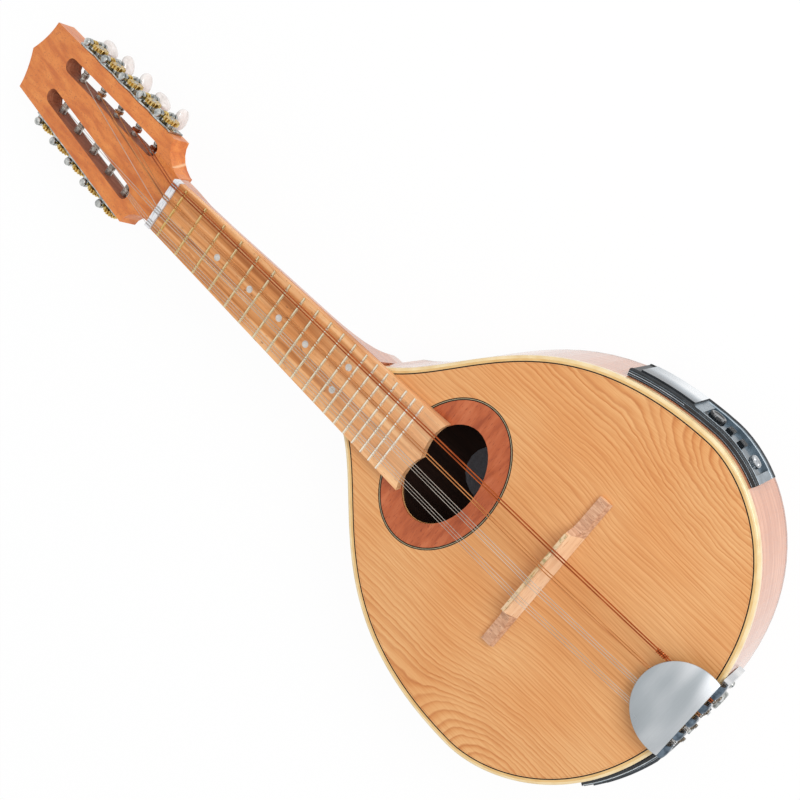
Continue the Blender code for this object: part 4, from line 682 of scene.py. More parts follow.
# %% Rings round the rosette
white_veneer, *_ = mottled("undyed_maple_veneer", 0.4, 0.3, 2.0,
                           [(0.3, "#a3926c"), (0.7, "#c2b48f")], coat=0.3, coat_roughness=0.2)
HOLE_Y = 86.0
ROSETTE_HALF_X = 53.0
ROSETTE_HALF_Y = 37.4
RING_LOW_Z = BODY_TOP_Z - 0.1
RING_TOP_Z = BODY_TOP_Z + 0.05
shapes = []
for start, end, veneer in ((0.1, 0.75, black_veneer), (0.75, 1.05, white_veneer),
                           (1.05, 1.75, black_veneer)):
    section = ((start, RING_LOW_Z), (end, RING_LOW_Z), (end, RING_TOP_Z), (start, RING_TOP_Z))
    sections = [[((ROSETTE_HALF_X + grow) * math.cos(turn),
                  HOLE_Y + (ROSETTE_HALF_Y + grow) * math.sin(turn), z) for grow, z in section]
                for turn in (math.tau * k / 96 for k in range(96))]
    shapes.append((skin(sections, closed=True), veneer))
add_piece("rosette_rings", shapes)

# %% [markdown]
# ## Position dots
#
# Six small discs of imitation pearl are let into the fretboard, each half way between two frets.
# They are polished level with the wood, with a slight dome that catches the light. The tuning
# buttons are a glossier, whiter pearl.

# %% Pearl
pearl, *_ = mottled("celluloid_pearl", 0.18, 0.16, 3.0,
                    [(0.3, "#cdc5c0"), (0.5, "#e4dcd8"), (0.7, "#f0ecea")], 1.2,
                    coat=0.6, coat_roughness=0.05)
dot_pearl, *_ = mottled("worn_pearl_dot", 0.3, 0.4, 3.0,
                        [(0.3, "#b2aca5"), (0.5, "#c6c1ba"), (0.7, "#d6d2cd")], 1.2, coat=0.3)

# %% Dots
SCALE_LENGTH = 345.0
DOT_RADIUS = 2.4
DOTS = ((3, 0.0), (5, 0.0), (7, 0.0), (9, 0.0), (12, -9.5), (12, 9.5))


def fret_y(number):
    """How far a fret is from the bridge's end of the strings."""
    return SCALE_LENGTH * 2.0 ** (-number / 12.0)


lean = Matrix.Rotation(-math.atan(NECK_SLOPE), 4, "X")
shapes = []
for number, x in DOTS:
    y = (fret_y(number - 1) + fret_y(number)) / 2.0
    dot = turned([(0.0, 0.16), (DOT_RADIUS * 0.6, 0.13), (DOT_RADIUS, 0.03),
                  (DOT_RADIUS, -0.2)], 24)
    shapes.append((moved(dot, Matrix.Translation((x, y, board_top(y))) @ lean), dot_pearl))
add_piece("position_dots", shapes)
print("dots:", len(DOTS))

# %% [markdown]
# ## Metals
#
# The tuning machines and the tailpiece are nickel plated steel. Nickel is a warm grey metal.
# On small stamped pieces it is polished and picks up fine scratches; on the big round cover it
# has gone cloudy, with a light band across it that is a painted reflection. The gears and worms
# are bare brass.


# %% Nickel and brass
def plated(name, dark, light, blotch, smooth, rough):
    """A metal whose colour and polish change in soft blotches of a size in mm."""
    material, tree, shader, point, _ = mottled(name, 0.3, 1.0 / blotch, 2.0,
                                               [(0.35, dark), (0.65, light)], metallic=1.0)
    scratch = add_node(tree, "TexNoise", {"Vector": point, "Scale": 1.8, "Detail": 4.0})
    add_node(tree, "MapRange", {0: scratch, 1: 0.3, 2: 0.7, 3: smooth, 4: rough},
             to=shader.inputs["Roughness"])
    return material


bright_nickel = plated("polished_nickel_plate", "#8d908f", "#cfd0cc", 3.0, 0.14, 0.30)
grey_nickel = plated("dull_nickel_roller", "#a09c96", "#cbc8c1", 4.0, 0.25, 0.42)
# Nickel painted dark: painted shade and dark reflection on the tongues, and painted shade in
# slots.
nickel_painted_dark = plated("nickel_painted_dark_as_shade", "#414d58", "#6c7a87", 4.0, 0.18, 0.32)
bright_plate = plated("bright_tail_plate", "#c9cccf", "#eceded", 18.0, 0.16, 0.34)
brass = plated("bare_brass_gear", "#ad8a45", "#e6ca82", 2.0, 0.20, 0.36)
loop_bronze = plated("brown_string_loop", "#625950", "#948878", 2.0, 0.35, 0.50)
dress(["tuner_plate_bass", "tuner_plate_treble", "output_jack"], [bright_nickel])
dress(["tailpiece_plate"], [bright_plate])
dress(["pickup"], [brass])

# %% [markdown]
# ## Strings
#
# The first four strings are wound with bronze wire, the others are plain steel. The winding is
# only 0.2 mm wide, finer than a pixel, so it is drawn as ridges 0.8 mm apart. The lowest pair is
# tarnished to a red-brown, the next pair is still bright orange. Steel has gone slightly yellow.
# Behind the tailpiece's cover every string ends in a browner loop.

# %% String metals
RIDGE_PITCH = 0.8
LOOP_START_Y = -100.0


def wound_metal(name, dark, bright):
    """Bronze wire wound on a core. The ridges run across the string."""
    material, tree, shader, point, _ = mottled(name, 0.36, 0.05, 2.0,
                                               [(0.35, dark), (0.65, bright)], metallic=0.85)
    parts = add_node(tree, "SeparateXYZ", {0: point})
    ridge = add_node(tree, "Math", {0: parts.outputs[1], 1: math.tau / RIDGE_PITCH},
                     operation="MULTIPLY")
    ridge = add_node(tree, "Math", {0: ridge}, operation="SINE")
    add_node(tree, "Bump", {"Strength": 0.4, "Distance": 0.0001, "Height": ridge},
             to=shader.inputs["Normal"])
    return material


low_bronze = wound_metal("tarnished_bronze_winding", "#9c4a24", "#b86232")
bright_bronze = wound_metal("bright_bronze_winding", "#bd7c48", "#d2935c")
steel, *_ = mottled("plain_steel_string", 0.38, 0.04, 2.0,
                    [(0.35, "#b3aba1"), (0.65, "#d0c8be")], metallic=0.9)
for number, metal in enumerate([low_bronze] * 2 + [bright_bronze] * 2 + [steel] * 6, 1):
    dress([f"string_{number}"], [metal, loop_bronze],
          lambda place, normal: int(place.y < LOOP_START_Y))

# %% [markdown]
# ## Tuning machines
#
# Each of the ten machines has two moving pieces. The key is a steel shaft with a brass worm cut on
# it, a domed head on top and a pearl button below. The roller is turned steel with a brass gear of
# 14 teeth on its outer end. The solids are coarse so that the physics stays quick, so both are
# made again here: the frame of each comes from its joint, with Z along the joint's axis.

# %% Frames of the machines
TUNER_FRAMES = {}
for tuner in TUNERS:
    key = joints[f"key_{tuner}_turn"]
    roller = joints[f"roller_{tuner}_turn"]
    up = Vector(key["axis"]).normalized()
    out = Vector(roller["axis"]).normalized()
    side = 1.0 if tuner.startswith("bass") else -1.0
    along = up.cross(out) * side
    TUNER_FRAMES[tuner] = {
        "key": frame_of(Vector(key["pos_m"]) / MM, out, along, up),
        "roller": frame_of(Vector(roller["pos_m"]) / MM, -up, along, out),
    }
print("frames:", len(TUNER_FRAMES))

# %% Worm and button
GEAR_TEETH = 14
GEAR_PITCH_RADIUS = 5.4
WORM_PITCH = math.tau * GEAR_PITCH_RADIUS / GEAR_TEETH
WORM_ROOT = 1.5
WORM_TIP = 2.7
WORM_TURNS = 2
THREAD_ROOT_HALF = 0.65
THREAD_SIDE_HALF = 0.28
THREAD_TIP_HALF = 0.18
THREAD_EDGE = 0.1
BUTTON_TOP = -10.0
BUTTON_SIZE = (15.5, 6.5, 11.5)


def worm_thread(steps=24):
    """A screw thread about Z, one profile swept round a helix, with a root facing the gear."""
    half = WORM_PITCH * (WORM_TURNS + 1) / 2.0
    middle = WORM_PITCH / 2.0
    profile = [(WORM_ROOT, middle - THREAD_ROOT_HALF),
               (WORM_TIP - THREAD_EDGE, middle - THREAD_SIDE_HALF),
               (WORM_TIP, middle - THREAD_TIP_HALF), (WORM_TIP, middle + THREAD_TIP_HALF),
               (WORM_TIP - THREAD_EDGE, middle + THREAD_SIDE_HALF),
               (WORM_ROOT, middle + THREAD_ROOT_HALF),
               (WORM_ROOT, middle - THREAD_ROOT_HALF + WORM_PITCH)]
    rings = []
    for step in range(steps * WORM_TURNS + 1):
        turn = math.pi / 2.0 + math.tau * step / steps
        lift = -half + WORM_PITCH * step / steps
        rings.append([on_circle(radius, turn, lift + height) for radius, height in profile])
    return skin(rings)


def pearl_button(turn):
    """An oval button with a flat thick rim, turned about the shaft by an angle in degrees."""
    # Powers below one square the oval off, more across its thickness than along it.
    width, thickness, length = (size / 2.0 for size in BUTTON_SIZE)
    rings = []
    for k in range(1, 16):
        v = math.pi * k / 16
        across = math.sin(v) ** 0.8
        ring = []
        for j in range(32):
            u = math.tau * j / 32
            flat = math.copysign(abs(math.sin(u)) ** 0.75, math.sin(u))
            ring.append((width * across * math.cos(u), thickness * across * flat,
                         BUTTON_TOP - length + length * math.cos(v)))
        rings.append(ring)
    return moved(skin(rings), Matrix.Rotation(math.radians(turn), 4, "Z"))


# %% Tuning keys
SHAFT_RADIUS = 1.3
HEAD_START = 6.85
STEM_END = -12.5
BUTTON_TURNS = (10.0, 70.0, 20.0, 35.0, 65.0)
for tuner in TUNERS:
    shaft = turned([(0.0, STEM_END), (SHAFT_RADIUS, STEM_END), (SHAFT_RADIUS, HEAD_START),
                    (2.75, HEAD_START), (2.9, HEAD_START + 0.2), (2.9, HEAD_START + 0.8),
                    (2.5, HEAD_START + 1.5), (1.6, HEAD_START + 1.9), (0.0, HEAD_START + 2.0)])
    collar = turned([(SHAFT_RADIUS, BUTTON_TOP + 1.6), (2.1, BUTTON_TOP + 1.4),
                     (2.3, BUTTON_TOP + 0.4), (2.0, BUTTON_TOP - 0.6)])
    button = pearl_button(BUTTON_TURNS[int(tuner[-1]) - 1])
    add_piece(f"key_{tuner}_fine",
              [(shaft, bright_nickel), (collar, bright_nickel), (worm_thread(), brass),
               (button, pearl)],
              [f"tuning_key_{tuner}"], TUNER_FRAMES[tuner]["key"], f"key_{tuner}")
print("keys:", len(TUNERS), "worm pitch, mm:", round(WORM_PITCH, 3))

# %% [markdown]
# The roller's neck has a few turned grooves, and its string is wound round its waist: two heavy
# turns of bronze on the first four, several close turns of thin steel on the others. The gear is
# held by an axle whose end is slotted; the slot is a thin block painted dark as shade.

# %% Gear and winding
GEAR_TIP = 6.0
GEAR_FLANK = 5.1
GEAR_ROOT = 4.3
GEAR_WIDTH = 2.8
GEAR_MIDDLE = 4.9
TOOTH = ((GEAR_TIP - 0.15, -0.085), (GEAR_TIP, 0.0), (GEAR_TIP - 0.15, 0.085),
         (GEAR_FLANK, 0.125), (GEAR_ROOT, 0.19), (GEAR_ROOT, 0.26), (GEAR_FLANK, 0.324))
WORM_PITCH_RADIUS = 2.4
WORM_LEAD = math.atan(WORM_PITCH / (math.tau * WORM_PITCH_RADIUS))
WAIST = 2.2


def brass_gear():
    """A small helical gear about Z whose teeth lean to follow the worm's thread."""
    rings = []
    for k in range(5):
        z = GEAR_WIDTH * (k / 4.0 - 0.5)
        lean = z * math.tan(WORM_LEAD) / GEAR_PITCH_RADIUS
        shrink = 0.15 if k in (0, 4) else 0.0
        ring = []
        for tooth in range(GEAR_TEETH):
            middle = math.pi / 2.0 + math.tau * tooth / GEAR_TEETH + lean
            for radius, turn in TOOTH:
                radius -= shrink if radius > GEAR_FLANK else 0.0
                ring.append(on_circle(radius, middle + turn, GEAR_MIDDLE + z))
        rings.append(ring)
    return skin(rings)


def winding(radius, turns, start, clearance):
    """A string wound round the roller's waist."""
    reach = WAIST + clearance + radius
    pitch = 2.0 * radius + clearance
    count = 20
    points = [(WAIST * 0.5, 0.0, start)]
    points += [on_circle(reach, math.tau * k / count, start + pitch * k / count)
               for k in range(int(turns * count) + 1)]
    return wire(points, radius, 8)


# %% Rollers
RAIL = 11.0
SLOT = 11.0
ROLLER_RADIUS = 2.7
SPINDLE = 1.9
BLIND_END = 3.5
GROOVE_PITCH = 0.8
GROOVE_DEPTH = 0.35
WOUND_RADII = (0.5, 0.5, 0.38, 0.38)
STEEL_RADIUS = 0.22
outer, inner = -RAIL, -RAIL - SLOT
end = GEAR_MIDDLE + GEAR_WIDTH / 2.0
profile = [(0.0, end + 0.5), (1.6, end + 0.5), (SPINDLE, end + 0.2), (SPINDLE, -0.3),
           (ROLLER_RADIUS, -0.3), (ROLLER_RADIUS, outer + 0.3)]
for groove in range(4):
    z = outer - 0.5 - GROOVE_PITCH * groove
    profile += [(ROLLER_RADIUS, z), (ROLLER_RADIUS - GROOVE_DEPTH, z - 0.2),
                (ROLLER_RADIUS - GROOVE_DEPTH, z - 0.4), (ROLLER_RADIUS, z - 0.6)]
profile += [(WAIST, outer - 4.2), (WAIST, inner + 2.2), (ROLLER_RADIUS, inner + 1.6),
            (ROLLER_RADIUS, inner + 0.3), (SPINDLE, inner + 0.3),
            (SPINDLE, inner - BLIND_END), (0.0, inner - BLIND_END)]
for tuner in TUNERS:
    row = int(tuner[-1]) - 1
    # The slot is not cut: a thin block painted dark stands for the shade in it.
    slot_painted_shade = skin([[(-1.5, -0.25, z), (1.5, -0.25, z), (1.5, 0.25, z), (-1.5, 0.25, z)]
                     for z in (end + 0.45, end + 0.54)])
    if tuner.startswith("bass") and row < len(WOUND_RADII):
        radius = WOUND_RADII[row]
        coil = winding(radius, 2.0, inner + 2.6 + radius, 0.3)
        metal = low_bronze if row < 2 else bright_bronze
    else:
        coil = winding(STEEL_RADIUS, 5.0, inner + 3.4, 0.08)
        metal = steel
    add_piece(f"roller_{tuner}_fine",
              [(turned(profile), grey_nickel), (brass_gear(), brass), (slot_painted_shade, nickel_painted_dark),
               (coil, metal)],
              [f"string_roller_{tuner}"], TUNER_FRAMES[tuner]["roller"],
              f"roller_{tuner}")
print("rollers:", len(TUNERS), "gear teeth:", GEAR_TEETH)

# %% [markdown]
# Small domed screws hold the plates to the head's edges, between the machines. Each has a slot
# drawn as a block painted dark as shade. Three larger ones hold the tailpiece's base plate to
# the tail.


# %% Screws
def screw(radius, height, slot_turn, place):
    """A domed screw head, set in place, with a slot drawn as a block painted dark as shade."""
    head = turned([(radius, 0.0), (radius, height * 0.25), (radius * 0.8, height * 0.7),
                   (radius * 0.45, height * 0.95), (0.0, height)], 24)
    # The groove is a block in nickel painted dark: painted shade in the slot.
    long, wide = radius * 0.85, radius * 0.14
    groove = skin([[(-long, -wide, z), (long, -wide, z), (long, wide, z), (-long, wide, z)]
                   for z in (height * 0.6, height * 1.02)])
    moved(groove, Matrix.Rotation(slot_turn, 4, "Z"))
    return [(moved(head, place), bright_nickel), (moved(groove, place), nickel_painted_dark)]


PLATE_FACE = 1.5
TUNER_PITCH = 23.0
SCREW_SHARES = (-0.32, -0.28, -0.28, -0.28, -0.28, 0.72)
for side_name in ("bass", "treble"):
    shapes = []
    for number, share in enumerate(SCREW_SHARES):
        base = TUNER_FRAMES[f"{side_name}_{min(number, 4) + 1}"]["roller"]
        place = base @ Matrix.Translation((0.0, share * TUNER_PITCH, PLATE_FACE))
        shapes += screw(1.6, 0.9, 0.7 * number + 0.4, place)
    add_piece(f"plate_screws_{side_name}", shapes)
print("plate screws a side:", len(SCREW_SHARES))

# %% [markdown]
# ## Tailpiece
#
# The strings hook onto a bent plate screwed to the tail, and a round cover of nickel plated sheet
# clips over them, bent down at its outer edge with a notch at each course. Its solid has a plain
# straight bend, while on the real one each tongue between two notches is pressed round like a
# small cushion, so the cover is made again here. Its flat face has gone cloudy, and a soft pale
# band across it is a painted reflection. The tongues are painted dark as shade and a dark
# reflection.

# %% Cloudy nickel with a painted sheen
sheen_painted_cover_nickel, tree, shader, point = start_material("cloudy_nickel_cover_painted_sheen", 0.3, 1.0)
band = add_node(tree, "Mapping", {0: point, "Rotation": (0.0, 0.0, -0.35),
                                  "Scale": (1 / 60.0, 1 / 22.0, 1 / 60.0),
                                  "Location": (0.35, 0.2, 0.0)})
haze_and_sheen = add_node(tree, "TexNoise", {"Vector": band, "Scale": 1.0, "Detail": 1.0,
                                   "Distortion": 0.2})
# The pale band in the colour is a painted reflection; the same noise makes the face rougher where
# it is cloudy.
painted_sheen_colour = add_node(tree, "ValToRGB", {0: haze_and_sheen},
                       stops=[(0.36, "#a2a8ac"), (0.50, "#aeb4b8"), (0.64, "#cccfd2")])
scratch = add_node(tree, "Mapping", {0: point, "Rotation": (0.0, 0.0, 0.6),
                                     "Scale": (1 / 9.0, 1 / 0.5, 1.0)})
scratch = add_node(tree, "TexNoise", {"Vector": scratch, "Scale": 1.0, "Detail": 2.0})
scratch_dark = add_node(tree, "MapRange", {0: scratch, 1: 0.3, 2: 0.7, 3: 0.95, 4: 1.0})
add_node(tree, "VectorMath", {0: painted_sheen_colour, 1: scratch_dark}, operation="MULTIPLY",
         to=shader.inputs["Base Color"])
add_node(tree, "MapRange", {0: haze_and_sheen, 1: 0.3, 2: 0.7, 3: 0.22, 4: 0.45},
         to=shader.inputs["Roughness"])

# %% Cover
TAILPIECE_X = -2.0
COVER_RADIUS = 30.8
COVER_Y = -117.9
COVER_TOP_Z = 80.5
COVER_SHEET = 0.8
COVER_BEND_Y = -124.7
COVER_ENDS_X = (28.0, -32.0)
BEND_RADIUS = 3.4
FOOT_Z = 69.3
NOTCHES = (15.55, 3.85, -7.85, -19.55)
NOTCH_HALF = 2.7
TONGUE_DOME = 0.75
DOME_START_SHARE = 0.25
ROUND_END_SHARE = 0.38


def cover_disc():
    """The flat round face with a rolled edge, cut straight at the bend."""
    rings = []
    for shrink, below in ((0.9, COVER_SHEET), (0.0, COVER_SHEET), (0.0, 0.35), (0.35, 0.0)):
        radius = COVER_RADIUS - shrink
        first = math.asin((COVER_BEND_Y - COVER_Y) / radius)
        ring = []
        for k in range(73):
            turn = first + (math.pi - 2.0 * first) * k / 72
            ring.append((TAILPIECE_X + radius * math.cos(turn), COVER_Y + radius * math.sin(turn),
                         COVER_TOP_Z - below))
        rings.append(ring)
    return skin(rings)


def tongue(low_x, high_x):
    """One tongue between two notches: it bends down, is domed across and has a round end."""
    centre_z = COVER_TOP_Z - BEND_RADIUS
    path = [(COVER_BEND_Y - BEND_RADIUS * math.sin(turn),
             centre_z + BEND_RADIUS * math.cos(turn), turn)
            for turn in (math.radians(a) for a in range(0, 91, 10))]
    path += [(COVER_BEND_Y - BEND_RADIUS, centre_z - (centre_z - FOOT_Z) * k / 8, math.pi / 2.0)
             for k in range(1, 9)]
    middle, half = (low_x + high_x) / 2.0, (high_x - low_x) / 2.0
    rings = []
    for step, (y, z, lean) in enumerate(path):
        share = step / (len(path) - 1)
        end = max(0.0, 1.0 - (1.0 - share) / ROUND_END_SHARE)
        start = max(0.0, 1.0 - share / DOME_START_SHARE)
        reach = half * (1.0 - 0.10 * start) * math.sqrt(max(0.02, 1.0 - 0.85 * end * end))
        upper = [(u, TONGUE_DOME * (1.0 - u * u) * (1.0 - start))
                 for u in (-1.0 + 2.0 * k / 10 for k in range(11))]
        rings.append([(middle + reach * u, y - lift * math.sin(lean), z + lift * math.cos(lean))
                      for u, lift in upper + [(1.0, -COVER_SHEET), (-1.0, -COVER_SHEET)]])
    return skin(rings)


notch_sides = [x + step for x in NOTCHES for step in (NOTCH_HALF, -NOTCH_HALF)]
edges = [COVER_ENDS_X[0], *notch_sides, COVER_ENDS_X[1]]
shapes = [(cover_disc(), sheen_painted_cover_nickel)]
# The tongues wear nickel painted dark as shade and a dark reflection.
for high_x, low_x in zip(edges[::2], edges[1::2]):
    shapes.append((tongue(low_x, high_x), nickel_painted_dark))
print("tongues:", len(shapes) - 1)
add_piece("round_cover", shapes, ["tailpiece_cover"], sharp=50.0)

# %% Tail plate screws
TAIL_FACE_Y = -127.8
shapes = []
for x, z in ((-20.0, 44.0), (20.0, 44.0), (0.0, 50.0)):
    place = Matrix.Translation((x, TAIL_FACE_Y, z)) @ Matrix.Rotation(math.pi / 2.0, 4, "X")
    shapes += screw(2.6, 1.4, 0.3 + x, place)
add_piece("tail_plate_screws", shapes)

# %% [markdown]
# Each string ends in a loop of its own wire, twisted shut. The loops sit side by side over the
# hooks, two or three to a hook, brown against the nickel. Above the cover's edge the lowest pair
# still shows the last turns of its red-brown winding.

# %% String loops
COURSES = (2, 2, 3, 3)
COURSE_PITCH = 11.7
HOOK_Z = 63.5
LOOP_STEP = 0.55
LOOP_HALF_X, LOOP_HALF_Z = 1.55, 1.3
LOOP_WIRE = 0.26
KNOT_PITCH = 1.5
KNOT_RADIUS = 0.45
KNOT_WIRE = 0.24
shapes = []
for course, count in enumerate(COURSES):
    x = TAILPIECE_X + (1.5 - course) * COURSE_PITCH
    for number in range(count):
        y = TAIL_FACE_Y - 0.6 - LOOP_STEP * number
        loop = []
        for k in range(25):
            turn = math.pi / 2.0 + math.tau * k / 24
            loop.append((x + LOOP_HALF_X * math.cos(turn), y - 0.02 * k,
                         HOOK_Z + LOOP_HALF_Z * math.sin(turn)))
        shapes.append((wire(loop, LOOP_WIRE, 8), loop_bronze))
        knot_x = x + (number - count / 2.0 + 0.5) * KNOT_PITCH
        knot = [(knot_x + KNOT_RADIUS * math.cos(t), y - 0.2 + KNOT_RADIUS * math.sin(t),
                 HOOK_Z + 1.5 + 0.16 * t) for t in (0.5 * k for k in range(38))]
        shapes.append((wire(knot, KNOT_WIRE, 6), loop_bronze))
print("loops:", sum(COURSES))
add_piece("string_loops", shapes)

# %% Last turns of the winding
SADDLE_STRING_Z = 86.5
TAIL_STRING_Z = 75.5
WINDING_END_Y = -84.0
TURN_PITCH = 1.32
TURN_STEPS = 12
TURN_RADIUS = 0.8
TURN_WIRE = 0.32
shapes = []
for x_tail, x_saddle in ((16.25, 20.0), (14.85, 18.1)):
    low = Vector((x_tail, TAIL_FACE_Y, TAIL_STRING_Z))
    high = Vector((x_saddle, 0.0, SADDLE_STRING_Z))
    coil = []
    for k in range(64):
        y = WINDING_END_Y - TURN_PITCH * k / TURN_STEPS
        centre = low.lerp(high, (y - TAIL_FACE_Y) / -TAIL_FACE_Y)
        turn = math.tau * k / TURN_STEPS
        coil.append(centre + Vector((math.cos(turn), 0.0, math.sin(turn))) * TURN_RADIUS)
    coil.append(coil[-1] + Vector((1.6, -0.8, 0.6)))
    shapes.append((wire(coil, TURN_WIRE, 6), low_bronze))
add_piece("winding_ends", shapes)

# %% [markdown]
# ## Preamplifier and battery box
#
# Both are moulded in black ABS plastic with a fine satin texture, and where it catches the light
# its blue-grey sheen and pale edge highlights are painted on. The bezel has a raised, polished
# panel near the head, painted from dark at its top to pale grey as a painted reflection, and a
# sunk tray near the tail, painted blue-grey as a reflection, with two knobs and two sliders.
# The mould's texture is about 0.3 mm fine; it is drawn at 0.6 mm.


# %% Moulded plastics
def moulded(name, dark, light, roughness, texture, relief_strength, coat=0.0):
    """A plastic whose tone shifts slightly and whose mould texture has a size in mm."""
    material, tree, shader, point, _ = mottled(name, roughness, 0.12, 2.0,
                                               [(0.35, dark), (0.65, light)], coat=coat,
                                               coat_roughness=0.12)
    grit = add_node(tree, "TexNoise", {"Vector": point, "Scale": 1.0 / texture, "Detail": 2.0})
    add_node(tree, "Bump", {"Strength": relief_strength, "Distance": 0.0002, "Height": grit},
             to=shader.inputs["Normal"])
    return material


black_abs = moulded("satin_black_abs", "#16191c", "#22272c", 0.42, 0.6, 0.2)
# Black plastic painted blue-grey where it faces the light: a painted sheen.
abs_painted_sheen = moulded("black_abs_painted_blue_grey_sheen", "#5a6872", "#74828c", 0.35, 0.6, 0.15, 0.3)
# The tray's blue-grey is a painted reflection on black plastic.
tray_abs_painted_reflection = moulded("glossy_tray_abs_painted_reflection", "#3d4c57", "#5d6d79", 0.25, 0.9, 0.05, 0.4)
# Pale edges on black plastic: painted highlights.
abs_painted_highlight = moulded("abs_painted_bright_edge_highlight", "#9fb0bc", "#c2ced6", 0.3, 0.9, 0.05, 0.4)
door_abs = moulded("satin_dark_door_abs", "#262c32", "#343c44", 0.38, 0.6, 0.2)
knob_abs = moulded("gloss_black_knob_abs", "#101214", "#1c1f22", 0.22, 1.2, 0.05, 0.5)
knob_metal = plated("turned_grey_knob", "#8d9195", "#c4c7ca", 5.0, 0.20, 0.35)
panel_painted_reflection, tree, shader, point = start_material("polished_panel_painted_reflection", 0.22, coat=0.2)
parts = add_node(tree, "SeparateXYZ", {0: point})
# Dark towards the top and pale lower down: a painted reflection on the panel.
down = add_node(tree, "MapRange", {0: parts.outputs[2], 1: 54.0, 2: 36.0})
taper = add_node(tree, "MapRange", {0: parts.outputs[1], 1: 10.0, 2: 33.0, 3: 0.0, 4: -0.35})
down = add_node(tree, "Math", {0: down, 1: taper}, operation="ADD")
add_node(tree, "ValToRGB", {0: down}, to=shader.inputs["Base Color"],
         stops=[(0.0, "#2f3a44"), (0.30, "#5d6872"), (0.62, "#98a2aa"), (1.0, "#dfe3e6")])
ripple = add_node(tree, "TexNoise", {"Vector": point, "Scale": 0.12, "Detail": 1.0})
add_node(tree, "Bump", {"Strength": 0.05, "Distance": 0.0005, "Height": ripple},
         to=shader.inputs["Normal"])

# %% Faces of the preamplifier
PREAMP_INSIDE_X = 100.0
WINDOW_Y, WINDOW_Z = (-3.5, 33.5), (21.0, 54.0)
TRAY_Y, TRAY_Z = (-56.5, -8.5), (23.5, 55.5)
FACE_END_Y = -3.0


def preamp_face(place, normal):
    """0 black edge, 1 grey face, 2 tray, 3 raised panel; 1 to 3 are painted as reflections."""
    if place.x > PREAMP_INSIDE_X:
        if TRAY_Y[0] < place.y < TRAY_Y[1] and TRAY_Z[0] < place.z < TRAY_Z[1]:
            return 2
        if normal.x > 0.6 and abs(normal.z) < 0.3:
            if WINDOW_Y[0] < place.y < WINDOW_Y[1] and WINDOW_Z[0] < place.z < WINDOW_Z[1]:
                return 3
            return int(place.y < FACE_END_Y)
    return 0


dress(["preamp_housing"], [black_abs, abs_painted_sheen, tray_abs_painted_reflection, panel_painted_reflection], preamp_face)
dress(["battery_box"], [black_abs])
dress(["battery_door"], [door_abs])

# %% [markdown]
# Thin ridges run along the long edges of both bezels, left by the mould; some are painted pale as
# highlights. They follow the body's curve, so each is a small rounded strip carried along the
# outline at a fixed distance from it.
# The battery door hinges on its lower edge and is pulled open by a ribbed grip. The ribs are the
# same kind of strip on the door's own body, so they swing with it.


# %% Ridges
def station_at_y(y):
    """The outline's point nearest to a distance along the body."""
    return min(range(1, len(FINE) - 1), key=lambda i: abs(FINE[i].y - y))


def station_at_x(x):
    """The outline's point nearest to a distance from the centre line, near the tail."""
    tail = [i for i in range(1, len(FINE) - 1) if FINE[i].y < WIDEST_Y]
    return min(tail, key=lambda i: abs(FINE[i].x - x))


def ridge(ends, z, out, side, height=0.7, half=0.5, upward=False, steps=24, sides=6):
    """A rounded ridge between two stations. It stands out from the rim, or up if upward is set."""
    rings = []
    for k in range(steps + 1):
        index = round(ends[0] + (ends[1] - ends[0]) * k / steps)
        ring = []
        for j in range(sides + 1):
            turn = math.pi * j / sides
            away, rise = height * math.sin(turn), half * math.cos(turn)
            if upward:
                away, rise = half * math.cos(turn), height * math.sin(turn)
            base, _ = rim_place(index, out + away, side)
            ring.append((base.x, base.y, z + rise))
        rings.append(ring)
    return skin(rings)


# %% Ridges of the preamplifier
PREAMP_TOP_Z = 60.0
BEZEL_OUT = 4.3
low_end, high_end = station_at_y(-60.5), station_at_y(38.5)
window_end, top_stop = station_at_y(-4.0), station_at_y(0.0)
shapes = []
for z in (58.9, 57.3, 17.0, 18.6):
    shapes.append((ridge((low_end, high_end), z, BEZEL_OUT - 0.15, 1), black_abs))
shapes.append((ridge((window_end, high_end), 55.6, BEZEL_OUT - 0.15, 1), black_abs))
# The pale and blue-grey ridges carry painted highlights and sheen.
for z in (55.4, 23.6):
    shapes.append((ridge((low_end, window_end), z, BEZEL_OUT - 0.3, 1, 0.6, 0.35), abs_painted_highlight))
for out, start, plastic in ((0.9, low_end, abs_painted_sheen), (2.1, top_stop, abs_painted_highlight),
                            (3.4, low_end, abs_painted_sheen)):
    shapes.append((ridge((start, high_end), PREAMP_TOP_Z - 0.1, out, 1, 0.4, 0.22, True), plastic))
print("ridges on the preamplifier:", len(shapes))
add_piece("preamp_ridges", shapes)

# %% Ridges of the battery box
BATTERY_TOP_Z = 62.0
BATTERY_OUT = 3.7
ends = (station_at_x(34.0), station_at_x(86.0))
shapes = []
# The pale ridge carries a painted highlight.
for z, height, plastic in ((60.9, 0.7, black_abs), (17.0, 0.7, black_abs), (58.6, 1.0, abs_painted_highlight)):
    shapes.append((ridge(ends, z, BATTERY_OUT - 0.15, -1, height), plastic))
for out, plastic in ((1.2, black_abs), (3.2, abs_painted_highlight)):
    shapes.append((ridge(ends, BATTERY_TOP_Z - 0.1, out, -1, 0.6, 0.35, True), plastic))
print("ridges on the battery box:", len(shapes))
add_piece("battery_box_ridges", shapes)

# %% Grip of the battery door
DOOR_OUT = 6.1
RIB_PITCH = 1.5
FIRST_RIB_Z = 47.5
ends = (station_at_x(44.0), station_at_x(76.0))
shapes = [(ridge(ends, FIRST_RIB_Z + RIB_PITCH * k, DOOR_OUT, -1, 0.6, 0.45), door_abs)
          for k in range(5)]
print("ribs on the door:", len(shapes))
add_piece("battery_door_grip", shapes, body="battery_door_body")

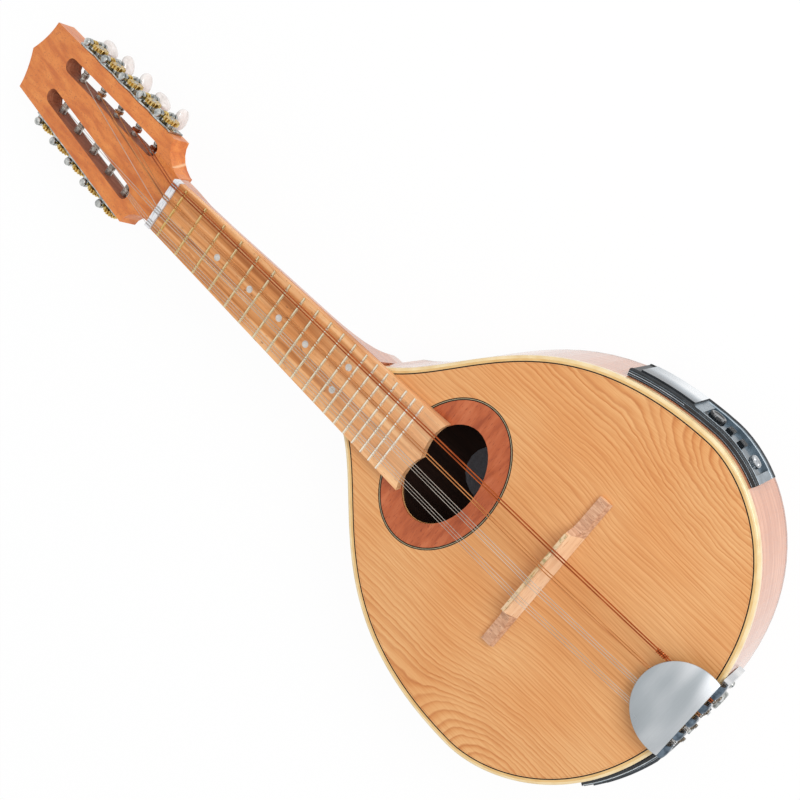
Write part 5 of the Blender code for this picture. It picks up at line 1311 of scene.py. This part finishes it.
# %% [markdown]
# ## Knobs and sliders
#
# The volume control is a ridged wheel and the tone control a smaller knob of turned metal. Two
# sliders between them cut or lift the low and the high notes; each is a small grip with
# ridges across its travel. Each knob is made again in its joint's frame, and each slider on the
# rim at its solid's height.


# %% Ridged wheels
def ridged_wheel(radius, seat, top, ridges, depth, dish):
    """A wheel about Z with rounded ridges round its side and a shallow dish in its face."""
    count = ridges * 4
    turns = [math.tau * k / count for k in range(count)]
    waves = [(0.0, depth * 0.4, depth, depth * 0.4)[k % 4] for k in range(count)]
    rings = [[on_circle(radius + grow - wave, turn, z) for turn, wave in zip(turns, waves)]
             for z, grow in ((seat, -0.3), (seat + 0.5, 0.0), (top - 0.7, 0.0), (top, -0.5))]
    rings += [[on_circle(radius * share, turn, z) for turn in turns]
              for share, z in ((0.72, top), (0.60, top - dish), (0.05, top - dish))]
    return skin(rings)


def pointer(radius, z):
    """A thin raised line on a wheel's face that shows where it is set."""
    near, far = radius * 0.62, radius * 0.92
    return skin([[(-0.3, near, level), (0.3, near, level), (0.3, far, level), (-0.3, far, level)]
                 for level in (z - 0.3, z + 0.12)])


def frame_on_rim(place, out):
    """A frame whose Z points out of the rim and whose Y is up the body's depth."""
    up = Vector((0.0, 0.0, 1.0))
    return frame_of(place, up.cross(out), up, out)


# %% Knobs
SEAT = 2.2
KNOB_TOP = 6.2
for name, radius, ridges, metal, slot in (
        ("volume", 5.8, 22, knob_abs, "dark_control"),
        ("tone", 4.2, 16, knob_metal, "grey_control")):
    joint = joints[f"{name}_turn"]
    place = frame_on_rim(Vector(joint["pos_m"]) / MM, Vector(joint["axis"]).normalized())
    wheel = ridged_wheel(radius, SEAT, KNOB_TOP, ridges, 0.45, 0.5)
    add_piece(f"{name}_knob_fine", [(wheel, metal), (pointer(radius, KNOB_TOP), panel_painted_reflection)],
              [f"{name}_knob"], place, f"{name}_knob_body")

# %% Sliders
GRIP_TOP = 5.0
GRIP_HALF = 3.5
GRIP_RIDGES = 4
RIDGE_WAVE = 0.315
CROWN_RISE = 0.25
GRIP_STEPS = 28
for name, y in (("bass_slider", -28.0), ("treble_slider", -37.5)):
    base, normal = rim_place(station_at_y(y), 0.0)
    low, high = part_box(name)
    height = (low[2] + high[2]) / 2.0 / MM
    place = frame_on_rim(Vector((base.x, base.y, height)), Vector((normal.x, normal.y, 0.0)))
    section = []
    for k in range(GRIP_STEPS + 1):
        z = GRIP_HALF * (2.0 * k / GRIP_STEPS - 1.0)
        wave = RIDGE_WAVE * math.cos(math.tau * GRIP_RIDGES * k / GRIP_STEPS)
        section.append((z, GRIP_TOP - wave + CROWN_RISE * abs(z) / GRIP_HALF))
    rings = [[(x, -GRIP_HALF, SEAT)] + [(x, z, crown - drop) for z, crown in section]
             + [(x, GRIP_HALF, SEAT)]
             for x, drop in ((-2.5, 0.5), (-2.1, 0.0), (2.1, 0.0), (2.5, 0.5))]
    add_piece(f"{name}_fine", [(skin(rings), knob_abs)], [name], place,
              f"{name}_body", 25.0)

# %% [markdown]
# ## Camera, floor and light
#
# The camera stands over the soundboard, tilted towards the tail and the side with the controls.
# Its place was found by fitting the known fret spacing, the outline and the back edge to the
# picture. The floor shows the camera plain white and keeps a soft shadow.

# %% Camera
CAMERA_PLACE = Vector((380.742, -158.682, 1038.531)) * MM
CAMERA_RIGHT = Vector((0.57374, -0.69696, -0.43020))
CAMERA_DOWN = Vector((-0.74563, -0.66180, 0.07774))
CAMERA_AHEAD = Vector((-0.33889, 0.27617, -0.89938))
FOCAL_PIXELS = 1705.64
IMAGE_SIDE = 800.0
SENSOR = 36.0
camera_data = bpy.data.cameras.new("camera")
camera = bpy.data.objects.new("camera", camera_data)
bpy.context.scene.collection.objects.link(camera)
camera.matrix_world = frame_of(CAMERA_PLACE, CAMERA_RIGHT, -CAMERA_DOWN, -CAMERA_AHEAD)
camera_data.sensor_width = SENSOR
camera_data.lens = FOCAL_PIXELS / IMAGE_SIDE * SENSOR
bpy.context.scene.camera = camera
print("lens, mm:", round(camera_data.lens, 1))


# %% Which rays see white
def seen_share(tree):
    """1 for the camera's rays and for rays that metal or glass sends on, else 0."""
    path = add_node(tree, "LightPath")
    seen = add_node(tree, "Math", {0: path.outputs["Is Camera Ray"],
                                   1: path.outputs["Is Glossy Ray"]}, operation="MAXIMUM")
    return add_node(tree, "Math", {0: seen, 1: path.outputs["Is Transmission Ray"]},
                    operation="MAXIMUM")


# %% Floor
FLOOR_HALF = 6.0
FLOOR_DROP = 0.0005
WHITE_SHARE = 0.95
WHITE = (1.0, 1.0, 1.0, 1.0)
floor_data = bpy.data.meshes.new("floor")
shape = bmesh.new()
bmesh.ops.create_grid(shape, x_segments=1, y_segments=1, size=FLOOR_HALF)
shape.to_mesh(floor_data)
shape.free()
floor = bpy.data.objects.new("floor", floor_data)
floor.location.z = -FLOOR_DROP
bpy.context.scene.collection.objects.link(floor)
material, tree, shader, _ = start_material("white_paper_sweep", 0.9)
shader.inputs["Base Color"].default_value = linear("#f7f7f7")
glow = add_node(tree, "Emission", {"Color": WHITE, "Strength": 1.0})
share = add_node(tree, "Math", {0: seen_share(tree), 1: WHITE_SHARE}, operation="MULTIPLY")
add_node(tree, "MixShader", {0: share, 1: shader.outputs[0], 2: glow.outputs[0]},
         to=tree.nodes["Material Output"].inputs["Surface"])
floor_data.materials.append(material)
print("floor, m across:", 2.0 * FLOOR_HALF)

# %% Light
WORLD_LEVEL = 0.78
world = bpy.data.worlds.new("studio")
bpy.context.scene.world = world
world.use_nodes = True
tree = world.node_tree
background = tree.nodes["Background"]
background.inputs["Color"].default_value = WHITE
add_node(tree, "Math", {0: seen_share(tree), 1: 1.0 - WORLD_LEVEL, 2: WORLD_LEVEL},
         operation="MULTIPLY_ADD", to=background.inputs["Strength"])
KEY_PLACE = Vector((1.1, -0.7, 1.3))
KEY_AIM = Vector((0.0, 0.1, 0.05))
key_data = bpy.data.lights.new("key", "AREA")
key_data.energy = 18.0
key_data.size = 1.0
key_lamp = bpy.data.objects.new("key", key_data)
key_lamp.location = KEY_PLACE
key_lamp.rotation_euler = (KEY_AIM - KEY_PLACE).to_track_quat("-Z", "Y").to_euler()
bpy.context.scene.collection.objects.link(key_lamp)
bpy.context.scene.view_settings.view_transform = "Standard"
print("lamps:", len(bpy.data.lights), "watts:", key_data.energy)

# %% Sizes and finish
low, high = cad_box
